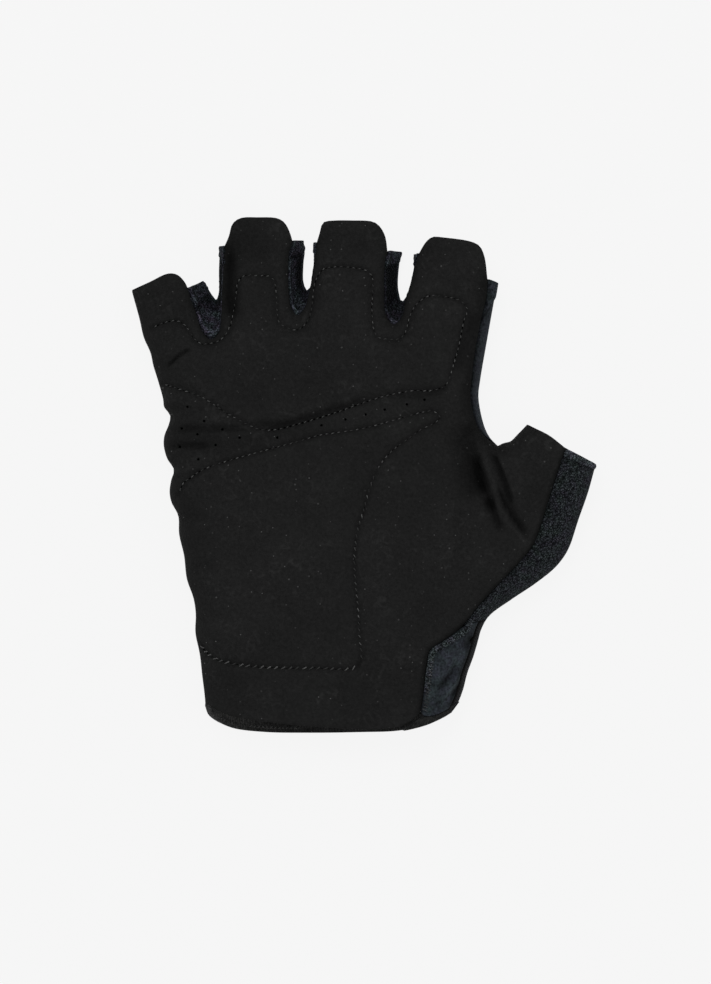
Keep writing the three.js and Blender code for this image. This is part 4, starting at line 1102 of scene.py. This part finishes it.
class GloveColours(bpy.types.PropertyGroup):
    """Colours of the glove's materials."""

    suede: colour_setting("Suede", "Palm", 0.0139, 0.0140, 0.0139)
    lint: colour_setting("Lint", "Specks of lint on the suede", 0.11, 0.11, 0.11)
    knit: colour_setting("Knit", "Back, and the side of the index finger", 0.0155, 0.0185, 0.0215)
    walls: colour_setting("Walls", "Knit between the fingers", 0.0298, 0.0322, 0.0424)
    terry: colour_setting("Terry", "Thumb", 0.0292, 0.0336, 0.0378)
    terry_tip: colour_setting("Terry loops", "Tops of the terry loops", 0.11, 0.12, 0.13)
    stretch: colour_setting("Stretch knit", "Gusset beside the wrist", 0.0207, 0.0255, 0.0305)
    # The binding's colour is raised to make up for the shade under the palm's hem: partly painted light
    binding: colour_setting("Binding", "Folded binding of the cuff", 0.0205, 0.0205, 0.0202)
    rim: colour_setting("Rim", "Folded binding of the gusset", 0.0090, 0.0086, 0.0086)
    # Needle holes: the colour of the dark lenses that paint the shade inside the holes
    hole: colour_setting("Needle holes", "Pits between the stitches", 0.0012, 0.0012, 0.0012)
    strap: colour_setting("Strap", "Wrist strap", 0.0090, 0.0095, 0.0100)
    foam: colour_setting("Foam", "Pads under the palm", 0.02, 0.02, 0.02)
    thread: colour_setting("Thread", "Sewing thread", 0.062, 0.062, 0.062)
    floor: colour_setting("Floor", "Floor under the glove", 0.04, 0.04, 0.04)


def colour_of(name):
    """A colour setting's value."""
    return tuple(getattr(bpy.context.scene.glove_colours, name))


# Pieces


def cloth_piece(name, grids, thickness, slot, finish, **edges):
    """A piece of cloth made of grids. thickness names a size of the glove."""
    return new_piece(name, *closed_sheet(grids, size(thickness), **edges), slot, finish)


class GLOVE_OT_palm(bpy.types.Operator):
    """Sews the suede palm with its breathing holes"""

    bl_idname = "glove.palm"
    bl_label = "Palm"

    def execute(self, context):
        grids = [(lay(plan, palm_height), plan_map(plan), True) for plan in palm_grids(PALM_STEPS)]
        finish = suede_finish("suede", colour_of("suede"), colour_of("lint"))
        palm = cloth_piece("palm", grids, "suede_thickness", "suede_palm", finish)
        punch_holes(palm)
        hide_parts("palm_panel")
        return {"FINISHED"}


def punch_holes(palm):
    """Cuts the breathing holes: each is a cylinder taken out of the sheet, turned a little so that its
    corners miss the sheet's. The faces that it leaves with more than four corners are split, and every
    vertex of the palm then gets its painted shade."""
    angle = np.arange(HOLE_SIDES) * 2 * np.pi / HOLE_SIDES + HOLE_TURN
    ring = np.stack([np.cos(angle), np.sin(angle), np.zeros(HOLE_SIDES)], 1) * size("hole_width") / 2
    centre = lay(HOLES, palm_form)
    ends = np.array([(0, 0, -PUNCH_REACH), (0, 0, PUNCH_REACH)])
    points = centre[:, None, None] + ends[None, :, None] + ring[None, None]
    punch_points, faces, _ = tubes(points, np.zeros(2), np.ones(len(HOLES)))
    place = punch_points[:, :2]
    punch = new_piece("punch", punch_points, faces, place, "suede_palm", palm.data.materials[0])
    cut = palm.modifiers.new("holes", "BOOLEAN")
    cut.operation = "DIFFERENCE"
    cut.solver = "EXACT"
    cut.object = punch
    split = palm.modifiers.new("split", "TRIANGULATE")
    split.min_vertices = 5
    split.ngon_method = "BEAUTY"
    graph = bpy.context.evaluated_depsgraph_get()
    mesh = bpy.data.meshes.new_from_object(palm.evaluated_get(graph))
    palm.modifiers.clear()
    palm.data = mesh
    bpy.data.objects.remove(punch)
    place = np.empty(len(mesh.vertices) * 3, np.float32)
    mesh.vertices.foreach_get("co", place)
    shade = palm_shade(place.reshape(-1, 3)[:, :2] / MM)
    mesh.attributes["Shade"].data.foreach_set("value", shade.astype(np.float32))


class GLOVE_OT_back(bpy.types.Operator):
    """Knits the back and its wrap up the side of the index finger"""

    bl_idname = "glove.back"
    bl_label = "Back"

    def execute(self, context):
        plans, edge, seam = back_grids(BACK_STEPS)
        grids = [(lay(plan, back_height), plan_map(plan), False) for plan in plans]
        wrap = lay(band(seam, edge, 12, 1.0), palm_form)
        wrap = np.concatenate([wrap, lay(edge, back_height)[None]])
        rows = np.linspace(0, 1, len(wrap))[:, None]
        to_tip = reach(edge)[-1] - reach(edge)
        bulge = 0.7 * smooth_step((WRAP_HEM - 0.2 - to_tip) / 0.6) * rows * (1 - rows)
        wrap[..., 0] += 4 * bulge
        wrap[..., 2] += 2.5 * bulge
        # Painted shade on the wrap: dark along its seam with the palm, darker as it turns down to the back's
        # edge, and a painted shadow line along the hem's lower edge; lighter on the hem
        shade = (1 - 0.5 * bell(rows / 0.12)) * (1 - 0.45 * smooth_step((rows - 0.55) / 0.4))
        shade = shade * (1 - 0.8 * bell((to_tip - WRAP_HEM) / 0.5))
        shade = shade * (1 + 0.5 * smooth_step((WRAP_HEM - 0.3 - to_tip) / 0.5))
        grids.append((wrap, strip_map(wrap, shade), False))
        finish = knit_finish("knit", colour_of("knit"), 1.0, 0.8, 0.2, 0.5, 0.8)
        back = cloth_piece("back", grids, "knit_thickness", "knit_back", finish)
        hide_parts("back_panel")
        return {"FINISHED"}


class GLOVE_OT_walls(bpy.types.Operator):
    """Knits the three walls between the fingers, each with a hem at both fingertips"""

    bl_idname = "glove.walls"
    bl_label = "Finger walls"

    def execute(self, context):
        base, pale = colour_of("walls"), colour_of("terry_tip")
        finish = terry_finish("wall_knit", base, pale, 1.3, 0.35, 0.25, 0.3)
        for gap in GAPS:
            grid, shade = wall_grid(gap)
            name = gap["name"].replace("wall", "knit")
            grids = [(grid, strip_map(grid, shade), True)]
            wall = cloth_piece(name, grids, "knit_thickness", "knit_walls", finish)
            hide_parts(gap["name"])
        return {"FINISHED"}


def wall_grid(gap, steps=130, rows=28):
    """A wall between two fingers, straight from the palm's edge to the back's and moved along the normal
    by a welt beside the seam, a hollow between the seams, a hem at both ends and loose waves. With it
    comes the painted shade on the cloth: dark in the seam, in the crease behind the welt, low down
    towards the gap and in a painted shadow line above the hem, lighter on the welt and in the web, and a
    little darker on the hem."""
    top, foot = (along(gap[side], 0.005, 0.995, steps) for side in ("palm", "back"))
    upper, lower = lay(top, palm_form), lay(foot, back_height)
    down = lower - upper
    start = SEAM_GAP / np.linalg.norm(down, axis=1)[:, None]
    share = start + (1 - 2 * start) * np.linspace(0, 1, rows + 1)[:, None, None]
    out, out_below = skin_normal(top, palm_form)[None], skin_normal(foot, back_height, -1)[None]
    normal = out + share * (out_below - out)
    normal /= np.linalg.norm(normal, axis=-1, keepdims=True)
    lengths = reach(foot)
    to_end = np.minimum(lengths, lengths[-1] - lengths)[:, None]
    hem = 0.6 * smooth_step((WALL_HEM - to_end) / 0.8) - 0.3 * bell((to_end - 3.5) / 0.5)
    welt = bell((share - 0.15) / 0.06)
    bow = 0.35 * welt - 0.7 * np.sin(np.pi * share)
    loose = 0.22 * np.sin(upper[..., :1] * 2.1 + 5 * share) * np.sin(upper[..., 1:2] * 1.7)
    grid = upper + share * down + (bow + hem + loose) * normal
    for end, before, past in ((0, 6, lengths), (-1, -7, lengths[-1] - lengths)):
        ahead = (foot[end] - foot[before]) / np.linalg.norm(foot[end] - foot[before])
        stretch = 0.5 * np.clip(1 - past / WALL_HEM, 0, 1)[:, None] * (0.6 + 0.8 * share)
        grid[..., :2] += stretch * ahead
    # Painted shade: darker low down towards the gap, less so in the web; dark in the seam, in the crease
    # behind the welt and in the shadow line above the hem; lighter on the welt
    deep = smooth_step((share - gap["shadow"]) / 0.25) * smooth_step((to_end - 2) / 3)
    web = bell((lengths - lengths[-1] * np.mean(gap["back_web"])) / 2.5)[:, None]
    shade = (1 - 0.9 * deep * (1 - 0.5 * web)) * (1 + 1.4 * welt) * (1 + 0.15 * web)
    shade = shade * (1 - 0.8 * bell(share / 0.06)) * (1 - 0.55 * bell((share - 0.3) / 0.05))
    shade = shade * (1 - 0.75 * bell((to_end - WALL_HEM - 0.4) / 0.5))
    shade = shade * (1 - 0.1 * smooth_step((WALL_HEM - to_end) / 0.5))
    return grid, shade[..., 0]


class GLOVE_OT_thumb(bpy.types.Operator):
    """Knits the terry back of the thumb: a wall round its outside, and its underside"""

    bl_idname = "glove.thumb"
    bl_label = "Thumb back"

    def execute(self, context):
        low, high, across = 44, 88, 40
        edge = np.vstack([
            between(LINE["outside"], (39.9, -46.4), BACK_THUMB_ROOT[0], low)[:-1],
            between(LINE["outside"], BACK_THUMB_ROOT[0], THUMB_BACK_TIP[0], high),
        ])
        seam = along(beside(LINE["thumb_seam"], -SEAM_GAP), 0.03, 1, len(edge) - 1)
        root = along(beside(LINE["back_thumb_root"], -SEAM_GAP), 0, 0.985, across)
        outer = edge[low:]
        inner = between(LINE["thumb_inside"], root[-1], THUMB_TIP[-1], high)
        root[0], inner[0] = outer[0], root[-1]
        under = patch(outer, inner, root, along(LINE["thumb_back_tip"], 0, 1, across))
        wall = lay(band(seam, edge, 16, 1.0), palm_form)
        bridge = np.stack([lay(outer, palm_form), lay(outer, back_height)])
        rows = np.linspace(0, 1, len(wall))[:, None]
        to_tip = (reach(edge)[-1] - reach(edge))[None]
        hem = smooth_step((THUMB_HEM - to_tip) / 0.5)
        # Painted shade on the terry: darker along the seam and low down, and a painted shadow line along the
        # hem's lower edge; lighter on the hem
        shade = (1 - 0.25 * bell(rows / 0.05)) * (1 - 0.15 * smooth_step((rows - 0.75) / 0.25))
        shade = shade * (1 - 0.6 * bell((to_tip - THUMB_HEM - 0.1) / 0.4)) * (1 + 1.8 * hem)
        wall[..., 2] += 0.4 * hem - 0.15 * bell(rows / 0.05)
        wall[..., 0] += 0.4 * hem * rows**2 * np.sin(np.pi * np.clip(to_tip / THUMB_HEM, 0, 1))
        bridge[0] = wall[-1, low:]
        grids = [
            (wall, strip_map(wall, shade), False),
            (bridge, strip_map(bridge), False),
            (lay(under, back_height), plan_map(under), False),
        ]
        finish = terry_finish("terry", colour_of("terry"), colour_of("terry_tip"))
        thumb = cloth_piece("terry_thumb", grids, "terry_thickness", "terry_knit", finish)
        new_piece("seam_roll", *seam_roll(), "terry_knit", finish)
        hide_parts("thumb_back")
        return {"FINISHED"}


def seam_roll(steps=130, sides=12):
    """The rolled seam allowance that runs on from the terry knit along the gusset's seam: a flat tube
    whose half width is 0.75 + 0.4 s, with s from 0 at its lower end to 1 at the terry."""
    line = np.vstack([beside(LINE["gusset_seam"], -1)[:-1], beside(LINE["thumb_seam"], -1)])
    line = between(line, (20.4, -71), (34.4, -47.6), steps)
    s = np.linspace(0, 1, len(line))
    half = (0.75 + 0.4 * s) * quarter(np.minimum(s, 1 - s), 0.03) + 0.02
    half = half * (1 + 0.1 * np.sin(s * 90) + 0.06 * np.sin(s * 211))
    line = line + (half - 0.8)[:, None] * (0.7, -0.7)
    row = lay(line, palm_form), skin_normal(line, palm_form)
    centre, _, side, up = frames(*row, reach(row[0]))
    centre = centre + (0.5 * half - 0.05)[:, None] * up
    angle = np.arange(sides) * 2 * np.pi / sides
    points = (
        centre[:, None]
        + half[:, None, None] * np.cos(angle)[:, None] * side[:, None]
        + 0.5 * half[:, None, None] * np.sin(angle)[:, None] * up[:, None]
    )
    return tubes(points[None], s * 20, np.full(1, 1.7))


class GLOVE_OT_gusset(bpy.types.Operator):
    """Fits the stretch gusset beside the wrist, with its long soft fold"""

    bl_idname = "glove.gusset"
    bl_label = "Gusset"

    def execute(self, context):
        steps, across = 60, 30
        seam = along(beside(LINE["gusset_seam"], -SEAM_GAP), 0.02, 1, steps)
        bound = between(beside(LINE["outside"], RIM_WIDTH + SEAM_GAP), (28.2, -74.6), (37.8, -48), steps)
        bound[:, 0] -= 0.8 * bell((bound[:, 1] - GUSSET_NOTCH) / 0.9)
        hem = along(beside(LINE["gusset_hem"], -0.05), 0.03, 0.97, across)
        hem[0], hem[-1] = seam[0], bound[0]
        seam[-6:] += np.linspace(0, 0.3, 6)[:, None] * (0.2, 1)
        top = along(np.array([seam[-1], bound[-1]]), 0, 1, across)
        plan = patch(hem, top, seam, bound)
        from_seam = nearest(seam, plan)[0] * -1
        from_edge = nearest(bound, plan)[0]
        grid = lay(plan, palm_form)
        low = smooth_step((-70.5 - plan[..., 1]) / 1.5)
        grid[..., 2] += gusset_fold(plan) * smooth_step((from_seam - 1.2) / 1.5)
        grid[..., 2] += 0.4 * low * bell((from_seam - 1) / 0.6)
        # Painted shade: dark along the seam and beside the bound edge, lighter on the seam's bulge, darker in
        # the folds' hollows and lighter on their ridges
        shade = 1 - 0.5 * bell(from_seam / 0.4) + 0.15 * bell((from_seam - 1.1) / 0.6)
        shade *= 1 - 0.55 * bell(from_edge / 0.7)
        shade *= 1 + np.clip(0.8 * gusset_fold(plan), -0.7, 0.35)
        finish = ribbed_finish("stretch_knit", colour_of("stretch"), 1.1, 0.8, 0.0, 0.1, 0.08, 0.36, 0.04)
        grids = [(grid, plan_map(plan, shade), True)]
        gusset = cloth_piece("gusset", grids, "knit_thickness", "stretch_knit", finish)
        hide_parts("wrist_gusset")
        return {"FINISHED"}


def gusset_fold(xy):
    """Ridges and hollows of the gusset: bell curves of the distances to lines, fading at their ends."""
    total = np.zeros(xy.shape[:-1])
    for points, width, height in GUSSET_FOLDS:
        across, share = nearest(smooth_line(points, 16), xy)
        total += height * fading(share, 0.3) * bell(across / width)
    return total


class GLOVE_OT_bindings(bpy.types.Operator):
    """Folds the bindings over the gusset's outer edge and round the cuff"""

    bl_idname = "glove.bindings"
    bl_label = "Bindings"

    def execute(self, context):
        rim, binding = (
            ribbed_finish(name, colour_of(name), 0.9, 0.9, 0.6, 0.12, 0.05, 0.3)
            for name in ("rim", "binding")
        )
        inner = between(beside(LINE["outside"], RIM_WIDTH), (28.8, -73.9), (37.8, -48.2), 60)
        outer = between(LINE["outside"], (30.9, -73.2), (39.3, -47.4), 60)
        grid = lay(band(inner, outer, 8, 1.0), palm_form)
        rows = np.linspace(0, 1, len(grid))[:, None]
        # Painted shade: darker along the rim's inner edge, beside the gusset
        grids = [(grid, strip_map(grid, 1 - 0.5 * bell(rows / 0.2)), False)]
        side = cloth_piece("gusset_edge", grids, "binding_thickness", "binding", rim)
        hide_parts("side_binding")
        hem = along(beside(LINE["back_cut"], -SEAM_GAP), 0.004, 1, 90)
        edge = along(LINE["back_cuff"], 0, 1, 90)
        upper = along(beside(LINE["gusset_hem"], -SEAM_GAP - 0.05), 0, 1, 40)
        lower = between(LINE["back_cuff"], (12.5, -82.9), BACK_CUFF[-1], 40)
        under = band(edge, hem, 6)
        over = band(lower, upper, 6)
        over[:, -1] = under[:, -1]
        bridge = np.stack([lay(under[:, -1], palm_form), lay(under[:, -1], back_height)])
        grids = [(lay(under, back_height), False), (bridge, False), (lay(over, palm_form), True)]
        grids = [(grid, strip_map(grid, cuff_shade(grid)), out) for grid, out in grids]
        cuff = cloth_piece("cuff_edge", grids, "binding_thickness", "binding", binding)
        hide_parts("cuff_binding")
        return {"FINISHED"}


def cuff_shade(grid):
    """How bright the cuff's binding is painted: less on top, more at the side of the little finger, and
    more towards its hem, painted light where the palm's hem above it casts shade."""
    top = smooth_step((grid[..., 2] - 8) / 4)
    little_side = smooth_step((-30 - grid[..., 0]) / 18)
    rows = np.linspace(0, 1, len(grid))[:, None]
    return (1 - 0.2 * top) * (1 + 0.95 * little_side) * (1 + 0.6 * (1 - top) * rows)


class GLOVE_OT_strap(bpy.types.Operator):
    """Lays the plain closing strap under the back of the wrist"""

    bl_idname = "glove.strap"
    bl_label = "Strap"

    def execute(self, context):
        steps = 24
        across = np.sin(np.linspace(-np.pi / 2, np.pi / 2, steps + 1))
        middle, half = (STRAP["from_y"] + STRAP["to_y"]) / 2, (STRAP["to_y"] - STRAP["from_y"]) / 2
        free_x = STRAP["from_x"] + STRAP["round"] * (1 - np.sqrt(1 - across**2))
        free = np.stack([free_x, middle + across * half], 1)
        side = beside(LINE["outside"], STRAP["from_edge"])
        sewn = between(side, (29, STRAP["from_y"]), (33.6, STRAP["to_y"]), steps)
        plan = band(sewn, free, 70)
        grids = [(lay(plan, back_height), plan_map(plan), False)]
        finish = ribbed_finish("strap_weave", colour_of("strap"), 1.1, 0.75, 0.9, 0.14, 0.15, 0.1)
        below = -(size("strap_thickness") + PAD_GAP)
        strap = cloth_piece("strap", grids, "strap_thickness", "strap", finish, inset=below, edge=0.4)
        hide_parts("wrist_strap")
        return {"FINISHED"}


def pad_shape(line, cell=2.2, edge_width=3):
    """A foam pad under the palm: both sides follow the palm's skin, and they come together at the
    pad's outline as a quarter ellipse. Its plan is cut into triangles between the outline and a grid of
    points inside it."""
    ring = at_lengths(line, np.linspace(0, reach(line)[-1], 180))
    closed = np.vstack([ring, ring[:1]])
    turns = np.roll(ring, -1, axis=0)
    side = np.sign((ring[:, 0] * turns[:, 1] - ring[:, 1] * turns[:, 0]).sum())
    low, high = ring.min(0), ring.max(0)
    across = np.stack(np.meshgrid(*(np.arange(low[k], high[k], cell) for k in range(2))), -1).reshape(-1, 2)
    every = np.vstack([ring, across[inside(closed, across, side) > 1]])
    edges = [(k, (k + 1) % len(ring)) for k in range(len(ring))]
    corners, outline = [tuple(p) for p in every], [list(range(len(ring)))]
    plan, _, triangles, *_ = delaunay_2d_cdt(corners, edges, outline, 1, 1e-4)
    plan, triangles = np.array([tuple(p) for p in plan]), np.array(triangles)
    a, b, c = (plan[triangles[:, k]] for k in range(3))
    flip = np.cross(b - a, c - a) < 0
    triangles[flip] = triangles[flip][:, ::-1]
    deep = np.maximum(inside(closed, plan, side), 0)
    skin, normal = lay(plan, palm_form), skin_normal(plan, palm_form)
    half = size("foam_thickness") / 2
    middle = size("suede_thickness") + PAD_GAP + half
    swell = (0.25 + 0.75 * quarter(deep, edge_width))[:, None] * half
    upper, lower = skin - (middle - swell) * normal, skin - (middle + swell) * normal
    count = len(plan)
    edges = np.concatenate([triangles[:, [k, (k + 1) % 3]] for k in range(3)])
    rim = open_edges(edges, count)
    sides = np.stack([rim[:, 1], rim[:, 0], rim[:, 0] + count, rim[:, 1] + count], 1)
    faces = [np.concatenate([triangles, triangles[:, ::-1] + count]), sides]
    return np.concatenate([upper, lower]), faces, np.concatenate([plan, plan])


class GLOVE_OT_pads(bpy.types.Operator):
    """Lays the two foam pads under the palm"""

    bl_idname = "glove.pads"
    bl_label = "Pads"

    def execute(self, context):
        finish = knit_finish("pad_cloth", colour_of("foam"), 0.8, 0.8, 0.08, 0.5, 0.3)
        for name in PADS:
            line = LINE[name]
            clear = inside(LINE["side"], line, -1)
            line = line + np.stack([np.maximum(0, PAD_FROM_SIDE - clear), np.zeros(len(line))], 1)
            pad = new_piece(name.replace("pad", "foam"), *pad_shape(line), "foam", finish)
            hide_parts(name)
        return {"FINISHED"}


class GLOVE_OT_stitches(bpy.types.Operator):
    """Sews the stitches round the pads and along the gusset and the cuff"""

    bl_idname = "glove.stitches"
    bl_label = "Stitches"

    def execute(self, context):
        finish = thread_finish("thread", colour_of("thread"))
        dark = plain_finish("needle_hole", colour_of("hole"))
        pitch, width = size("stitch_pitch"), size("thread_width")
        heel = LINE["heel_pad"]
        turn, corner = share_at(heel, (3.9, 1.2)), share_at(heel, (-1.3, -60.5))
        corner_past = share_at(heel, (-1.7, -61.6))
        rows = [
            (LINE["knuckle_pad"], 14, 0.55, 0.95, 1.0),
            (along(heel, 0, turn, 300), 12, 0.55, 0.95, 1.0),
            (along(heel, turn, corner, 200), 26, 0.85, 1.15, 1.08),
            (along(heel, corner_past, 1, 200), 36, 1.1, 1.4, 1.12),
        ]
        parts, hole_shades = [], []
        for seed, (plan, slant, length, wide, far) in enumerate(rows):
            plan = at_lengths(plan, np.arange(1, reach(plan)[-1] - 0.6, 0.5))
            row = lay(plan, palm_height), skin_normal(plan, palm_height)
            parts.append(threads(*row, pitch * far, pitch * length, width * wide, slant, 0.6, seed))
            # Dark lenses at the needle holes, painted shade of the holes
            hole_shades.append(needle_hole_shades(*row, pitch * far, pitch * 0.45, width * 1.6 * wide))
        new_piece("pad_stitches", *joined(parts), "suede_palm", finish)
        new_piece("needle_pits", *joined(hole_shades), "suede_palm", dark, False)
        seam = along(beside(LINE["gusset_seam"], -SEAM_GAP - 1.1), 0.03, 0.62, 80)
        row = lay(seam, lambda xy: palm_form(xy) + 0.62), skin_normal(seam, palm_form)
        parts = [threads(*row, 0.95, 2.0, width * 0.6, 68, 0.3, 8)]
        cuff = along(beside(LINE["back_cuff"], 1.5), 0.07, 0.4, 80)
        cuff = lay(cuff, lambda xy: back_height(xy) + size("binding_thickness"))
        up = np.tile((0.0, 0.0, 1.0), (len(cuff), 1))
        for slant, seed in ((50, 9), (-50, 10)):
            parts.append(threads(cuff, up, 1.3, 1.5, width * 0.7, slant, 0.2, seed))
        new_piece("edge_stitches", *joined(parts), "binding", finish)
        return {"FINISHED"}


class GLOVE_OT_stage(bpy.types.Operator):
    """Sets out the pale floor, the soft light and the camera"""

    bl_idname = "glove.stage"
    bl_label = "Stage"

    def execute(self, context):
        scene = context.scene
        mesh = bpy.data.meshes.new("floor")
        corners = ((-1, -1), (1, -1), (1, 1), (-1, 1))
        points = [(x * FLOOR_REACH, y * FLOOR_REACH, FLOOR_LEVEL) for x, y in corners]
        mesh.from_pydata(points, [], [(0, 1, 2, 3)])
        floor = bpy.data.objects.new("floor", mesh)
        scene.collection.objects.link(floor)
        finish = Finish("floor", 1.0, 0.0)
        finish.shader.inputs["Base Color"].default_value = (*colour_of("floor"), 1)
        finish.shader.inputs["Emission Color"].default_value = (1, 1, 1, 1)
        finish.shader.inputs["Emission Strength"].default_value = FLOOR_GLOW
        mesh.materials.append(finish.material)
        world = bpy.data.worlds.new("studio")
        world.use_nodes = True
        world.node_tree.nodes["Background"].inputs[0].default_value = (1, 1, 1, 1)
        world.node_tree.nodes["Background"].inputs[1].default_value = SKY
        scene.world = world
        for name, place, wide, power in LIGHTS:
            light = bpy.data.lights.new(name, "AREA")
            light.shape = "DISK"
            light.size = wide
            light.energy = power
            lamp = bpy.data.objects.new(name, light)
            lamp.location = place
            away = lamp.location.normalized()
            lamp.rotation_euler = away.to_track_quat("Z", "Y").to_euler()
            scene.collection.objects.link(lamp)
        camera = bpy.data.cameras.new("camera")
        camera.sensor_width = CAMERA["sensor"]
        camera.lens = CAMERA["lens"]
        camera.clip_end = 50
        view = bpy.data.objects.new("camera", camera)
        rise = CAMERA["view_height"] * CAMERA["lens"] / CAMERA["sensor"]
        view.location = (CAMERA["x"], CAMERA["y"], CAMERA["aim"] + rise)
        scene.collection.objects.link(view)
        scene.camera = view
        scene.view_settings.view_transform = "Standard"
        scene.view_settings.look = "None"
        return {"FINISHED"}


OPERATORS = (
    GLOVE_OT_palm, GLOVE_OT_back, GLOVE_OT_walls, GLOVE_OT_thumb, GLOVE_OT_gusset, GLOVE_OT_bindings,
    GLOVE_OT_strap, GLOVE_OT_pads, GLOVE_OT_stitches, GLOVE_OT_stage,
)


class GLOVE_PT_panel(bpy.types.Panel):
    """Lists the glove's settings and the steps that sew it"""

    bl_idname = "GLOVE_PT_panel"
    bl_label = "Fitness glove"
    bl_space_type = "VIEW_3D"
    bl_region_type = "UI"
    bl_category = "Glove"

    def draw(self, context):
        for group in (context.scene.glove_sizes, context.scene.glove_colours):
            column = self.layout.column()
            for name in group.__annotations__:
                column.prop(group, name)
        for operator in OPERATORS:
            self.layout.operator(operator.bl_idname)


CLASSES = (GloveSizes, GloveColours, *OPERATORS, GLOVE_PT_panel)


def register():
    """Registers the classes and hangs the settings on the scene."""
    for made in CLASSES:
        bpy.utils.register_class(made)
    bpy.types.Scene.glove_sizes = bpy.props.PointerProperty(type=GloveSizes)
    bpy.types.Scene.glove_colours = bpy.props.PointerProperty(type=GloveColours)


def unregister():
    """Undoes register."""
    del bpy.types.Scene.glove_sizes
    del bpy.types.Scene.glove_colours
    for made in reversed(CLASSES):
        bpy.utils.unregister_class(made)


def main():
    """Sews the glove."""
    register()
    for operator in OPERATORS:
        group, name = operator.bl_idname.split(".")
        getattr(getattr(bpy.ops, group), name)()


if __name__ == "__main__":
    main()
